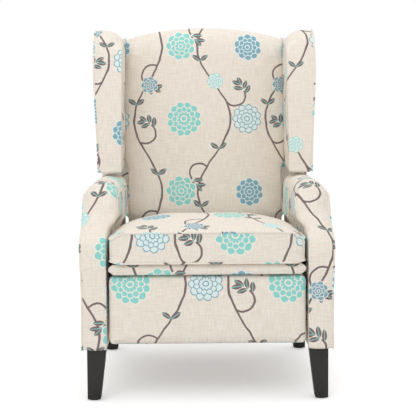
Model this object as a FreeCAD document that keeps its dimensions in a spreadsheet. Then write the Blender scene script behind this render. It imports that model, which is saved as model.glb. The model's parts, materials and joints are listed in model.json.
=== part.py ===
"""Push-back wing chair: a recliner with a sliding seat, a folding footrest and a reclining back.

The frame has +Z up, the chair faces -Y, and its origin is on the floor under the middle of the chair.
Lengths are in millimetres. Depths are given as distances behind the front faces of the arms.
The back is laid out upright about its hinge, as (distance behind the hinge, distance up the back),
and then leans by back_tilt. Each piece of the right side (+X) is mirrored to the left.
"""
import FreeCAD
import Part
import Sketcher
import math
import os

DIMENSIONS = {
    # the whole chair
    "centre_depth": 399,
    "leg_height": 137,
    # arms
    "arm_inner": 269,
    "arm_roll_inner": 247,
    "arm_outer": 335,
    "arm_flare": 344,
    "arm_top": 575,
    "arm_shoulder": 545,
    "arm_peak_side": 300,
    "arm_scoop_start": 375,
    "arm_scoop_depth": 192,
    "arm_length": 640,
    "arm_panel_side": 292,
    "arm_panel_thickness": 18,
    "arm_panel_margin": 25,
    # legs
    "leg_top_width": 50,
    "leg_foot_width": 35,
    "leg_outer_side": 322,
    "front_leg_depth": 8,
    "rear_leg_depth": 592,
    "rear_leg_top_width": 44,
    "rear_leg_foot_width": 37,
    "rear_leg_rake": 12,
    "glide_height": 3,
    "glide_radius": 13,
    "bolt_radius": 4,
    "bolt_head_radius": 7,
    "bolt_head_height": 4,
    # base rails and slotted plates
    "rail_thickness": 25,
    "rail_bottom": 150,
    "rail_top": 235,
    "front_rail_depth": 215,
    "rear_rail_depth": 600,
    "track_inner": 264,
    "track_thickness": 5,
    "track_front": 170,
    "track_rear": 630,
    "track_top": 364,
    "glide_travel": 60,
    "glide_slope": 8,
    "roller_radius": 7,
    "roller_clearance": 0.2,
    "roller_front_depth": 270,
    "roller_rear_depth": 510,
    "roller_height": 335,
    "angle_leg": 30,
    "angle_thickness": 3,
    # seat frame and mechanism layers
    "seat_plate_side": 246,
    "steel_thickness": 4,
    "layer_gap": 1,
    "seat_frame_front": 58,
    "seat_plate_rear": 590,
    "seat_plate_bottom": 302,
    "seat_frame_bottom": 322,
    "seat_frame_top": 364,
    "seat_wood_thickness": 24,
    "seat_wood_rear": 500,
    "spring_wire_radius": 1.75,
    "spring_width": 60,
    "screw_radius": 3,
    # seat cushion and the band under it
    "cushion_bottom": 368,
    "cushion_side_top": 450,
    "cushion_crown": 479,
    "cushion_half_width": 262,
    "cushion_side_bulge": 4,
    "cushion_overhang": 15,
    "cushion_rear": 515,
    "band_bottom": 337,
    "band_top": 366,
    "band_overhang": 5,
    "panel_half_width": 262,
    # footrest linkage: pivots with the footrest folded, depth and height
    "rear_pivot_depth": 137,
    "rear_pivot_height": 314,
    "front_pivot_depth": 93,
    "front_pivot_height": 324,
    "cross_pivot_depth": 152.5,
    "cross_pivot_height": 209,
    "heel_pivot_depth": 187.5,
    "heel_pivot_height": 190,
    "toe_pivot_depth": 164,
    "toe_pivot_height": 163,
    "footrest_pivot_depth": 60.5,
    "footrest_pivot_height": 322,
    "lower_pivot_depth": 68.5,
    "lower_pivot_height": 272.5,
    "link_width": 18,
    "rivet_radius": 5,
    "rivet_head_radius": 8,
    "rivet_head_height": 2.8,
    "running_clearance": 0.08,
    "tube_radius": 8,
    # footrest
    "footrest_bottom": 150,
    "footrest_top": 335,
    "footrest_pad_thickness": 38,
    "footrest_board_thickness": 12,
    "footrest_board_margin": 12,
    # back: placed about its hinge
    "hinge_depth": 560,
    "hinge_height": 330,
    "hinge_pin_radius": 6,
    "back_tilt": 10,
    "back_face": -44,
    "back_crown": 10,
    "back_half_width": 254,
    "back_low_half_width": 243,
    "back_pad_rear": 58,
    "back_pad_bottom": 60,
    "back_pad_top": 725,
    "back_pad_shoulder": 692,
    "back_widening": 285,
    "post_outer": 241,
    "post_thickness": 26,
    "post_front": 60,
    "post_rear": 105,
    "post_bottom": 20,
    "post_top": 690,
    "back_rail_height": 50,
    "webbing_width": 50,
    "webbing_thickness": 2,
    "outside_back_rear": 130,
    "outside_back_low_half_width": 243,
    "outside_back_half_width": 338,
    "outside_back_top": 712,
    # wings
    "wing_inner": 256,
    "wing_outer_top": 344,
    "wing_outer_bottom": 327,
    "wing_front_bottom": -172,
    "wing_front_top": -150,
    "wing_bottom_front": 227,
    "wing_bottom_rear": 345,
    "wing_top_front": 694,
    "wing_top_rear": 716,
    "wing_panel_side": 292,
    "wing_panel_thickness": 15,
}

document = FreeCAD.newDocument("wing_chair")
sheet = document.addObject("Spreadsheet::Sheet", "dims")
for row, (alias, number) in enumerate(DIMENSIONS.items(), start=1):
    sheet.set(f"A{row}", alias)
    sheet.set(f"B{row}", str(number))
    sheet.setAlias(f"B{row}", alias)
document.recompute()

PIECES = []


class Dim:
    """A length that carries its number and the sheet expression that gives it."""

    def __init__(self, number, text=None):
        self.number = float(number)
        self.text = text or f"({self.number})"

    def __add__(self, other):
        other = as_dim(other)
        return Dim(self.number + other.number, f"({self.text} + {other.text})")

    def __sub__(self, other):
        other = as_dim(other)
        return Dim(self.number - other.number, f"({self.text} - {other.text})")

    def __mul__(self, other):
        other = as_dim(other)
        return Dim(self.number * other.number, f"({self.text} * {other.text})")

    def __truediv__(self, other):
        other = as_dim(other)
        return Dim(self.number / other.number, f"({self.text} / {other.text})")

    def __neg__(self):
        return Dim(-self.number, f"(0 - {self.text})")

    def __radd__(self, other):
        return as_dim(other) + self

    def __float__(self):
        return self.number


def as_dim(length):
    return length if isinstance(length, Dim) else Dim(length)


def size(alias):
    """The driving dimension of this name."""
    return Dim(DIMENSIONS[alias], f"dims.{alias}")


def distance(a, b):
    """The straight distance between two (y, z) points."""
    across = b[0] - a[0]
    up = b[1] - a[1]
    return Dim(math.hypot(across.number, up.number), f"sqrt({across.text}^2 + {up.text}^2)")


def direction(a, b):
    """The angle in degrees from +Y towards +Z of the line from a to b."""
    across = b[0] - a[0]
    up = b[1] - a[1]
    degrees = math.degrees(math.atan2(up.number, across.number))
    return Dim(degrees, f"atan2({up.text}; {across.text})")


def behind(depth):
    """The y of a point this far behind the front faces of the arms."""
    return as_dim(depth) - size("centre_depth")


def pivot(name):
    """The (y, z) of a named pivot of the footrest linkage, folded."""
    return behind(size(f"{name}_depth")), size(f"{name}_height")


def bind(item, **lengths):
    for prop, length in lengths.items():
        item.setExpression(prop.replace("__", "."), as_dim(length).text)
    return item


def move(item, x=0, y=0, z=0):
    for axis, length in zip("xyz", (x, y, z)):
        item.setExpression(f"Placement.Base.{axis}", as_dim(length).text)
    return item


def block(name, x, y, z):
    """A box between a low and a high value on each axis."""
    box = document.addObject("Part::Box", name)
    bind(box, Length=as_dim(x[1]) - x[0], Width=as_dim(y[1]) - y[0], Height=as_dim(z[1]) - z[0])
    return move(box, x[0], y[0], z[0])


TURNS = {
    "x": FreeCAD.Rotation(FreeCAD.Vector(0, 1, 0), 90),
    "y": FreeCAD.Rotation(FreeCAD.Vector(1, 0, 0), -90),
    "z": FreeCAD.Rotation(),
}


def rod(name, axis, start, length, radius):
    """A round bar from a start point along +x, +y or +z."""
    cylinder = document.addObject("Part::Cylinder", name)
    cylinder.Placement = FreeCAD.Placement(FreeCAD.Vector(), TURNS[axis])
    bind(cylinder, Radius=radius, Height=length)
    return move(cylinder, *start)


def cut(name, base, *tools):
    result = document.addObject("Part::Cut", name)
    result.Base = base
    result.Tool = tools[0] if len(tools) == 1 else group(f"{name}_tools", *tools)
    return result


def fuse(name, *items):
    result = document.addObject("Part::MultiFuse", name)
    result.Shapes = list(items)
    return result


def group(name, *items):
    """Separate solids kept together, such as a set of like fasteners."""
    result = document.addObject("Part::Compound", name)
    result.Links = list(items)
    return result


def mirrored(name, source):
    twin = document.addObject("Part::Mirroring", name)
    twin.Source = source
    twin.Normal = (1, 0, 0)
    return twin


def plate(name, outline, side, thickness, holes=()):
    """A flat piece across X: a sketch on the YZ plane, padded, with round holes pocketed through it."""
    body = document.addObject("PartDesign::Body", name)
    sketch = new_sketch(body, f"{name}_outline")
    for start, end in zip(outline, outline[1:] + outline[:1]):
        line = Part.LineSegment(on_sketch(start), on_sketch(end))
        sketch.addGeometry(line, False)
    for index, corner in enumerate(outline):
        before = (index - 1) % len(outline)
        sketch.addConstraint(Sketcher.Constraint("Coincident", before, 2, index, 1))
        pin_point(sketch, index, 1, corner)
    pad = body.newObject("PartDesign::Pad", f"{name}_pad")
    pad.Profile = sketch
    bind(pad, Length=thickness)
    if holes:
        drill(body, name, holes)
    move(body, side)
    return body


def new_sketch(body, name):
    sketch = body.newObject("Sketcher::SketchObject", name)
    planes = [item for item in body.Origin.OriginFeatures if item.Role == "YZ_Plane"]
    sketch.AttachmentSupport = (planes[0], "")
    sketch.MapMode = "FlatFace"
    return sketch


def on_sketch(point):
    return FreeCAD.Vector(float(point[0]), float(point[1]), 0)


def pin_point(sketch, index, end, point):
    """Tie one end of a sketch line, or a circle's centre, to sheet values."""
    for kind, length in zip(("DistanceX", "DistanceY"), point):
        length = as_dim(length)
        number = sketch.addConstraint(
            Sketcher.Constraint(kind, -1, 1, index, end, length.number))
        sketch.setExpression(f"Constraints[{number}]", length.text)


def drill(body, name, holes):
    sketch = new_sketch(body, f"{name}_holes")
    for index, (centre, radius) in enumerate(holes):
        radius = as_dim(radius)
        circle = Part.Circle(on_sketch(centre), FreeCAD.Vector(0, 0, 1), radius.number)
        sketch.addGeometry(circle, False)
        pin_point(sketch, index, 3, centre)
        number = sketch.addConstraint(Sketcher.Constraint("Radius", index, radius.number))
        sketch.setExpression(f"Constraints[{number}]", radius.text)
    pocket = body.newObject("PartDesign::Pocket", f"{name}_drilled")
    pocket.Profile = sketch
    pocket.Type = "ThroughAll"
    pocket.Midplane = True


def bar(name, start, end, side, width, thickness):
    """A straight flat bar with round ends about two (y, z) points."""
    length = distance(start, end)
    angle = direction(start, end)
    strip = document.addObject("Part::Box", f"{name}_strip")
    strip.Placement = FreeCAD.Placement(
        FreeCAD.Vector(), FreeCAD.Rotation(FreeCAD.Vector(1, 0, 0), angle.number))
    bind(strip, Length=thickness, Width=length, Height=width, Placement__Rotation__Angle=angle)
    half = as_dim(width) / 2
    aside = half * (end[1] - start[1]) / length
    below = half * (end[0] - start[0]) / length
    move(strip, side, start[0] + aside, start[1] - below)
    ends = [rod(f"{name}_end_{number}", "x", (side, *point), thickness, half)
            for number, point in enumerate((start, end))]
    return fuse(f"{name}_bar", strip, *ends)


def lean(item):
    """Turn a piece of the back, laid out upright about its hinge, to its place on the chair."""
    item.Placement = FreeCAD.Placement(
        FreeCAD.Vector(), FreeCAD.Rotation(FreeCAD.Vector(1, 0, 0), -DIMENSIONS["back_tilt"]))
    item.setExpression("Placement.Rotation.Angle", size("back_tilt").text)
    item.setExpression("Placement.Rotation.Axis.x", "-1")
    return move(item, 0, behind(size("hinge_depth")), size("hinge_height"))


def keep(name, item):
    """Make this object the chair's piece of that name."""
    item.Label = name
    PIECES.append((name, item))
    return item


def keep_pair(name, item):
    keep(f"{name}_right", item)
    keep(f"{name}_left", mirrored(f"{name}_left", item))


def on_plane(plane, point):
    first, second = (float(value) for value in point[:2])
    places = {
        "side": FreeCAD.Vector(0, first, second),
        "front": FreeCAD.Vector(first, 0, second),
        "plan": FreeCAD.Vector(first, second, 0),
    }
    return places[plane]


def outline_face(plane, points):
    """A face from corners; a corner marked "via" is a point that an arc to the next corner passes through."""
    edges = []
    first = on_plane(plane, points[0])
    last = first
    via = None
    for point in points[1:] + points[:1]:
        here = on_plane(plane, point)
        if len(point) == 3:
            via = here
            continue
        edges.append((Part.Arc(last, via, here) if via else Part.LineSegment(last, here)).toShape())
        last = here
        via = None
    return Part.Face(Part.Wire(edges))


def soft_piece(name, shape):
    """A padded piece, whose shape is made here from sheet values."""
    feature = document.addObject("Part::Feature", name)
    feature.Shape = shape
    return feature


def swept(face, travel):
    """The face pushed along x, y or z and centred on its own plane."""
    return face.translated(travel * -0.5).extrude(travel)


# Arms
def arm_side_outline():
    front = behind(0)
    scoop = size("arm_scoop_depth")
    start = size("arm_scoop_start")
    top = size("arm_top")
    rise = top - start
    rear = behind(size("arm_length"))
    corner = 60
    return [
        (front, size("leg_height")),
        (front, start),
        (front + scoop * 0.07, start + rise * 0.24, "via"),
        (front + scoop * 0.26, start + rise * 0.41),
        (front + scoop * 0.48, start + rise * 0.56, "via"),
        (front + scoop * 0.64, start + rise * 0.78),
        (front + scoop * 0.77, start + rise * 0.94, "via"),
        (front + scoop, top),
        (rear - corner, top),
        (rear - corner * 0.29, top - corner * 0.29, "via"),
        (rear, top - corner),
        (rear, size("leg_height")),
    ]


def arm_end_outline():
    inner = size("arm_inner")
    roll = size("arm_roll_inner")
    peak = size("arm_peak_side")
    flare = size("arm_flare")
    outer = size("arm_outer")
    top = size("arm_top")
    shoulder = size("arm_shoulder")
    floor = size("leg_height")
    return [
        (inner, floor),
        (inner, shoulder - 75),
        (inner - 6, shoulder - 53, "via"),
        (roll, shoulder - 33),
        (roll, shoulder - 4),
        (roll + 14, top - 8, "via"),
        (peak, top),
        (flare - 16, top - 9, "via"),
        (flare, shoulder - 8),
        (outer, shoulder - 240),
        (outer, floor + 13),
        (outer - 4, floor + 4, "via"),
        (outer - 13, floor),
    ]


def make_arms():
    margin = size("arm_panel_margin")
    floor = size("leg_height")
    side = size("arm_panel_side")
    thickness = size("arm_panel_thickness")
    rear = behind(size("arm_length")) - margin
    top = size("arm_top") - margin - 5
    start = size("arm_scoop_start")
    scoop = size("arm_scoop_depth")
    front = behind(margin)
    panel_outline = [
        (front, floor + 5),
        (front, start - 5),
        (front + scoop * 0.3, start + 60),
        (front + scoop * 0.78, top),
        (rear, top),
        (rear, floor + 5),
    ]
    panel = plate("arm_panel", panel_outline, side, thickness)
    sockets = track_bolt_shafts("arm_bolt_socket") + leg_bolt_shafts("arm_leg_socket")
    keep_pair("arm_frame", cut("arm_frame", panel, *sockets))

    across = FreeCAD.Vector(1000, 0, 0)
    along = FreeCAD.Vector(0, 2000, 0)
    block_of_arm = swept(outline_face("side", arm_side_outline()), across)
    padded = block_of_arm.common(swept(outline_face("front", arm_end_outline()), along))
    cavity = outline_face("side", panel_outline).extrude(FreeCAD.Vector(float(thickness), 0, 0))
    cavity.translate(FreeCAD.Vector(float(side), 0, 0))
    cover = soft_piece("arm_padding", padded.cut(cavity).removeSplitter())
    bores = track_bolt_shafts("cover_bolt_bore") + leg_bolt_shafts("cover_leg_bore")
    keep_pair("arm_cover", cut("arm_cover", cover, *bores))


# Legs, their bolts and glides
def tapered_leg(name, outer, depth, top_width, foot_width, rake):
    """A square tapered leg whose outer front edge stays plumb and whose inner sides close in."""
    leg = document.addObject("Part::Wedge", name)
    leg.Placement = FreeCAD.Placement(FreeCAD.Vector(), FreeCAD.Rotation(FreeCAD.Vector(1, 0, 0), 90))
    glide = size("glide_height")
    height = size("leg_height") - glide
    bind(leg, Xmin=0, Xmax=foot_width, Zmin=-foot_width - rake, Zmax=-rake, Ymin=0, Ymax=height,
         X2min=foot_width - top_width, X2max=foot_width, Z2min=-top_width, Z2max=0)
    return move(leg, outer - foot_width, depth, glide)


def leg_centres():
    side = size("arm_panel_side") + size("arm_panel_thickness") / 2
    front = behind(size("front_leg_depth") + size("leg_top_width") / 2)
    rear = behind(size("rear_leg_depth") + size("rear_leg_top_width") / 2)
    return [(side, front), (side, rear)]


def leg_bolt_shafts(name):
    low = size("leg_height") - 45
    return [rod(f"{name}_{number}", "z", (x, y, low), 80, size("bolt_radius"))
            for number, (x, y) in enumerate(leg_centres())]


def make_legs():
    outer = size("leg_outer_side")
    front = tapered_leg("front_leg_wood", outer, behind(size("front_leg_depth")),
                        size("leg_top_width"), size("leg_foot_width"), 0)
    rear = tapered_leg("rear_leg_wood", outer, behind(size("rear_leg_depth")),
                       size("rear_leg_top_width"), size("rear_leg_foot_width"), size("rear_leg_rake"))
    front_socket, rear_socket = leg_bolt_shafts("leg_socket")
    keep_pair("front_leg", cut("front_leg", front, front_socket))
    keep_pair("rear_leg", cut("rear_leg", rear, rear_socket))

    bolts = leg_bolt_shafts("leg_bolt")
    bolts_left = [mirrored(f"leg_bolt_left_{number}", bolt) for number, bolt in enumerate(bolts)]
    keep("leg_bolts", group("leg_bolts", *bolts, *bolts_left))

    feet = [
        (outer - size("leg_foot_width") / 2,
         behind(size("front_leg_depth")) + size("leg_foot_width") / 2),
        (outer - size("rear_leg_foot_width") / 2,
         behind(size("rear_leg_depth")) + size("rear_leg_rake") + size("rear_leg_foot_width") / 2),
    ]
    glides = [rod(f"glide_{number}", "z", (x, y, 0), size("glide_height"), size("glide_radius"))
              for number, (x, y) in enumerate(feet)]
    glides_left = [mirrored(f"glide_left_{number}", glide) for number, glide in enumerate(glides)]
    keep("leg_glides", group("leg_glides", *glides, *glides_left))


# Base rails, slotted track plates and what bolts them together
def track_bolt_places():
    front = size("track_front") + 120
    rear = size("track_rear") - 55
    return [(behind(depth), height) for depth in (front, rear) for height in (190, 290)]


def track_bolt_shafts(name):
    start = size("track_inner")
    length = size("arm_panel_side") + size("arm_panel_thickness") - 4 - start
    return [rod(f"{name}_{number}", "x", (start, *place), length, size("bolt_radius"))
            for number, place in enumerate(track_bolt_places())]


def glide_slot(name, depth):
    """The slot that one roller runs in, from rest to fully forward and up."""
    room = size("roller_clearance")
    radius = size("roller_radius") + room
    slope = math.radians(DIMENSIONS["glide_slope"])
    travel = size("glide_travel") + 2
    rear = (behind(depth) + math.cos(slope), size("roller_height") - math.sin(slope))
    front = (rear[0] - travel * math.cos(slope), rear[1] + travel * math.sin(slope))
    return bar(name, rear, front, size("track_inner") - 1, radius * 2, size("track_thickness") + 2)


def make_base_rails():
    low = size("rail_bottom")
    high = size("rail_top")
    track = size("track_inner")
    thickness = size("rail_thickness")
    for name, depth in (("front_base_rail", "front_rail_depth"), ("rear_base_rail", "rear_rail_depth")):
        start = behind(size(depth))
        keep(name, block(name, (-track, track), (start, start + thickness), (low, high)))

    front = behind(size("track_front"))
    rear = behind(size("track_rear"))
    outline = [(front, low), (front, size("track_top")), (rear, size("track_top")), (rear, low)]
    holes = [(place, size("bolt_radius")) for place in track_bolt_places()]
    steel = plate("track_steel", outline, track, size("track_thickness"), holes)
    slots = [glide_slot(f"glide_slot_{number}", size(depth))
             for number, depth in enumerate(("roller_front_depth", "roller_rear_depth"))]
    keep_pair("track_plate", cut("track_plate", steel, *slots))

    shafts = track_bolt_shafts("track_bolt_shaft")
    head = size("bolt_head_height")
    bolts = []
    for number, place in enumerate(track_bolt_places()):
        cap = rod(f"track_bolt_head_{number}", "x", (track - head, *place), head, size("bolt_head_radius"))
        bolts.append(fuse(f"track_bolt_{number}", shafts[number], cap))
    bolts_left = [mirrored(f"track_bolt_left_{number}", bolt) for number, bolt in enumerate(bolts)]
    keep("track_bolts", group("track_bolts", *bolts, *bolts_left))

    brackets = []
    leg = size("angle_leg")
    steel_thickness = size("angle_thickness")
    faces = [
        (behind(size("front_rail_depth")) + thickness, 1),
        (behind(size("rear_rail_depth")), -1),
    ]
    for number, (face, way) in enumerate(faces):
        near = [face, face + leg] if way > 0 else [face - leg, face]
        on_rail = [face, face + steel_thickness] if way > 0 else [face - steel_thickness, face]
        on_track = block(f"angle_track_{number}", (track - steel_thickness, track), near, (low + 50, high))
        on_wood = block(f"angle_wood_{number}", (track - leg, track), on_rail, (low + 50, high))
        brackets.append(fuse(f"angle_{number}", on_track, on_wood))
    others = [mirrored(f"angle_left_{number}", item) for number, item in enumerate(brackets)]
    keep("rail_brackets", group("rail_brackets", *brackets, *others))


# Seat frame
def seat_screw_places():
    height = size("seat_frame_top") - 14
    return [(behind(depth), height) for depth in (230, 340, 450)]


def make_seat_frame():
    side = size("seat_plate_side")
    thickness = size("steel_thickness")
    wood = size("seat_wood_thickness")
    front = behind(size("seat_frame_front"))
    wood_rear = behind(size("seat_wood_rear"))
    low = size("seat_frame_bottom")
    top = size("seat_frame_top")
    plate_rear = behind(size("seat_plate_rear"))
    plate_low = size("seat_plate_bottom")
    outline = [(front, plate_low), (front, top), (plate_rear, top), (plate_rear, plate_low)]
    holes = [(place, size("screw_radius")) for place in seat_screw_places()]
    holes += [(pivot("rear_pivot"), size("rivet_radius")), (pivot("front_pivot"), size("rivet_radius"))]
    holes += [((behind(size(depth)), size("roller_height")), size("bolt_radius"))
              for depth in ("roller_front_depth", "roller_rear_depth")]
    holes += [((behind(size("hinge_depth")), size("hinge_height")), size("hinge_pin_radius"))]
    keep_pair("seat_side_plate", plate("seat_side_plate", outline, side, thickness, holes))

    rail = block("seat_side_wood", (side - wood, side), (front, wood_rear), (low, top))
    keep_pair("seat_side_rail", cut("seat_side_rail", rail, *screw_shafts("seat_screw_bore")))
    inner = side - wood
    for name, start in (("seat_front_rail", front), ("seat_rear_rail", wood_rear - wood)):
        keep(name, block(name, (-inner, inner), (start, start + wood), (low, top)))

    screws = []
    for number, shaft in enumerate(screw_shafts("seat_screw_shaft")):
        place = seat_screw_places()[number]
        cap = rod(f"seat_screw_head_{number}", "x", (side + thickness, *place), 2, 6)
        screws.append(fuse(f"seat_screw_{number}", shaft, cap))
    screws_left = [mirrored(f"seat_screw_left_{number}", item) for number, item in enumerate(screws)]
    keep("seat_screws", group("seat_screws", *screws, *screws_left))


def screw_shafts(name):
    start = size("seat_plate_side") - 18
    length = size("steel_thickness") + 18
    return [rod(f"{name}_{number}", "x", (start, *place), length, size("screw_radius"))
            for number, place in enumerate(seat_screw_places())]


def make_seat_rollers():
    """A steel stud on each side plate carries a nylon roller in the track plate's slot."""
    side = size("seat_plate_side")
    end = size("arm_inner") - 0.6
    roller_start = size("track_inner") - 1
    items = []
    for number, depth in enumerate(("roller_front_depth", "roller_rear_depth")):
        centre = (behind(size(depth)), size("roller_height"))
        items.append(rod(f"roller_stud_{number}", "x", (side, *centre), end - side, size("bolt_radius")))
        tyre = rod(f"roller_tyre_{number}", "x", (roller_start, *centre), end - roller_start,
                   size("roller_radius"))
        bore = rod(f"roller_bore_{number}", "x", (roller_start - 1, *centre), end - roller_start + 2,
                   size("bolt_radius"))
        items.append(cut(f"roller_{number}", tyre, bore))
    twins = [mirrored(f"roller_left_{number}", item) for number, item in enumerate(items)]
    keep("seat_rollers", group("seat_rollers", *items, *twins))


def sinuous_spring(centre, half_turns):
    """One zigzag wire from the front rail to the rear rail, with round bends."""
    front = float(behind(size("seat_frame_front"))) + 4
    rear = float(behind(size("seat_wood_rear"))) - 4
    step = (rear - front) / half_turns
    bend = step / 2
    reach = float(size("spring_width")) / 2 - bend
    wire_radius = float(size("spring_wire_radius"))
    height = float(size("seat_frame_top")) + wire_radius + 0.1
    edges = []
    side = -1
    here = FreeCAD.Vector(centre - reach, front, height)
    for turn in range(half_turns + 1):
        there = FreeCAD.Vector(centre - side * reach, here.y, height)
        edges.append(Part.LineSegment(here, there).toShape())
        if turn == half_turns:
            break
        middle = FreeCAD.Vector(there.x - side * bend, there.y + bend, height)
        here = FreeCAD.Vector(there.x, there.y + step, height)
        edges.append(Part.Arc(there, middle, here).toShape())
        side = -side
    path = Part.Wire(edges)
    section = Part.Wire([Part.makeCircle(wire_radius, path.Vertexes[0].Point, FreeCAD.Vector(1, 0, 0))])
    return path.makePipeShell([section], True, False)


def make_springs():
    wires = [sinuous_spring(centre, 12) for centre in (-176, -88, 0, 88, 176)]
    keep("seat_springs", soft_piece("seat_springs", Part.makeCompound(wires)))


# Seat cushion and the band under its front
def cushion_section(y, half_width, low, side_top, crown, bulge):
    """A cross-section of the seat cushion: flat below, drawn-in sides, crowned top."""
    middle = (low + side_top) / 2
    corners = [
        FreeCAD.Vector(-half_width, y, low),
        FreeCAD.Vector(half_width, y, low),
        FreeCAD.Vector(half_width, y, side_top),
        FreeCAD.Vector(-half_width, y, side_top),
    ]
    edges = [
        Part.LineSegment(corners[0], corners[1]),
        Part.Arc(corners[1], FreeCAD.Vector(half_width + bulge, y, middle), corners[2]),
        Part.Arc(corners[2], FreeCAD.Vector(0, y, crown), corners[3]),
        Part.Arc(corners[3], FreeCAD.Vector(-half_width - bulge, y, middle), corners[0]),
    ]
    return Part.Wire([edge.toShape() for edge in edges])


def make_seat_cushion():
    front = float(behind(0)) - float(size("cushion_overhang"))
    rear = float(behind(size("cushion_rear")))
    low = float(size("cushion_bottom"))
    side_top = float(size("cushion_side_top"))
    crown = float(size("cushion_crown"))
    width = float(size("cushion_half_width"))
    bulge = float(size("cushion_side_bulge"))
    length = rear - front
    sections = [
        cushion_section(front, width - 10, low + 12, side_top - 22, side_top - 16, bulge),
        cushion_section(front + 4, width - 4, low + 5, side_top - 10, side_top - 2, bulge),
        cushion_section(front + 12, width - 1, low + 1, side_top - 3, side_top + 8, bulge),
        cushion_section(front + 50, width, low, side_top, crown - 12, bulge),
        cushion_section(front + length * 0.3, width, low, side_top, crown - 2, bulge),
        cushion_section(front + length * 0.6, width, low, side_top, crown, bulge),
        cushion_section(rear - 60, width, low, side_top, crown - 5, bulge),
        cushion_section(rear - 14, width - 1, low + 2, side_top - 6, crown - 16, bulge),
        cushion_section(rear, width - 8, low + 10, side_top - 24, side_top - 8, bulge),
    ]
    keep("seat_cushion", soft_piece("seat_cushion", Part.makeLoft(sections, True, True)))


def make_seat_band():
    half = size("panel_half_width")
    front = behind(0) - size("band_overhang")
    rear = behind(size("seat_frame_front"))
    low = size("band_bottom")
    top = size("band_top")
    outline = [
        (-half, low), (half, low), (half + 2, (low + top) / 2, "via"), (half, top),
        (-half, top), (-half - 2, (low + top) / 2, "via"),
    ]
    face = outline_face("front", outline).translated(FreeCAD.Vector(0, float(front), 0))
    shape = face.extrude(FreeCAD.Vector(0, float(rear - front), 0))
    keep("seat_front_band", soft_piece("seat_front_band", shape))


# Footrest linkage
LINK_SIDE = size("seat_plate_side") + size("steel_thickness") + size("layer_gap")
OUTER_LINK_SIDE = LINK_SIDE + size("steel_thickness") + size("layer_gap")


def link(name, places, side, holes):
    """A flat steel link through its pivots, with the given holes."""
    width = size("link_width")
    thickness = size("steel_thickness")
    bars = [bar(f"{name}_{number}", start, end, side, width, thickness)
            for number, (start, end) in enumerate(zip(places, places[1:]))]
    blank = bars[0] if len(bars) == 1 else fuse(f"{name}_blank", *bars)
    tools = [rod(f"{name}_hole_{number}", "x", (side - 1, *place), thickness + 2, radius)
             for number, (place, radius) in enumerate(holes)]
    keep_pair(name, cut(name, blank, *tools))


def rivet(name, place, start, collar, head_at):
    """A shouldered rivet along X: shaft, a thin collar that spaces two links, and an outer head."""
    head = size("rivet_head_height")
    shaft = rod(f"{name}_shaft", "x", (start, *place), head_at + head - start, size("rivet_radius"))
    cap = rod(f"{name}_head", "x", (head_at, *place), head, size("rivet_head_radius"))
    pieces = [shaft, cap]
    if collar:
        pieces.append(rod(f"{name}_collar", "x", (collar, *place), size("layer_gap") - 0.1,
                          size("rivet_head_radius")))
    return fuse(name, *pieces)


def rivet_set(name, items):
    twins = [mirrored(f"{item.Name}_left", item) for item in items]
    keep(name, group(name, *items, *twins))


def make_linkage():
    tight = size("rivet_radius")
    loose = tight + size("running_clearance")
    steel = size("steel_thickness")
    rear, front = pivot("rear_pivot"), pivot("front_pivot")
    cross, heel, toe = pivot("cross_pivot"), pivot("heel_pivot"), pivot("toe_pivot")
    upper, lower = pivot("footrest_pivot"), pivot("lower_pivot")

    link("front_link", [front, cross, toe], LINK_SIDE, [(front, loose), (cross, tight), (toe, tight)])
    link("rear_link", [rear, heel], LINK_SIDE, [(rear, loose)])
    link("cross_link", [heel, cross, upper], OUTER_LINK_SIDE,
         [(heel, tight), (cross, loose), (upper, tight)])
    link("lower_link", [toe, lower], OUTER_LINK_SIDE, [(toe, loose), (lower, tight)])

    plate_side = size("seat_plate_side")
    link_head = LINK_SIDE + steel + 0.1
    outer_head = OUTER_LINK_SIDE + steel
    rivet_set("seat_pivot_rivets", [
        rivet("rear_pivot_rivet", rear, plate_side, plate_side + steel, link_head),
        rivet("front_pivot_rivet", front, plate_side, plate_side + steel, link_head),
    ])
    rivet_set("front_link_rivets", [
        rivet("cross_rivet", cross, LINK_SIDE, LINK_SIDE + steel, outer_head + 0.1),
        rivet("toe_rivet", toe, LINK_SIDE, LINK_SIDE + steel, outer_head + 0.1),
    ])
    rivet_set("cross_link_rivets", [
        rivet("footrest_rivet", upper, LINK_SIDE, LINK_SIDE + steel + 0.1, outer_head),
        rivet("heel_rivet", heel, OUTER_LINK_SIDE, None, outer_head),
    ])
    rivet_set("lower_link_rivets", [rivet("lower_rivet", lower, OUTER_LINK_SIDE, None, outer_head)])

    keep("linkage_cross_tube", rod("linkage_cross_tube", "x", (-LINK_SIDE, *cross), LINK_SIDE * 2,
                                   size("tube_radius")))


# Footrest
def footrest_rear():
    return behind(size("footrest_pad_thickness") + size("footrest_board_thickness"))


def footrest_screw_places():
    low = size("lower_pivot_height")
    side = LINK_SIDE - 13
    return [(side, low - 3), (side, low + 35)]


def footrest_screw_shafts(name):
    start = footrest_rear() - 9
    length = 9 + size("angle_thickness")
    return [rod(f"{name}_{number}", "y", (x, start, z), length, size("screw_radius"))
            for number, (x, z) in enumerate(footrest_screw_places())]


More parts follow.
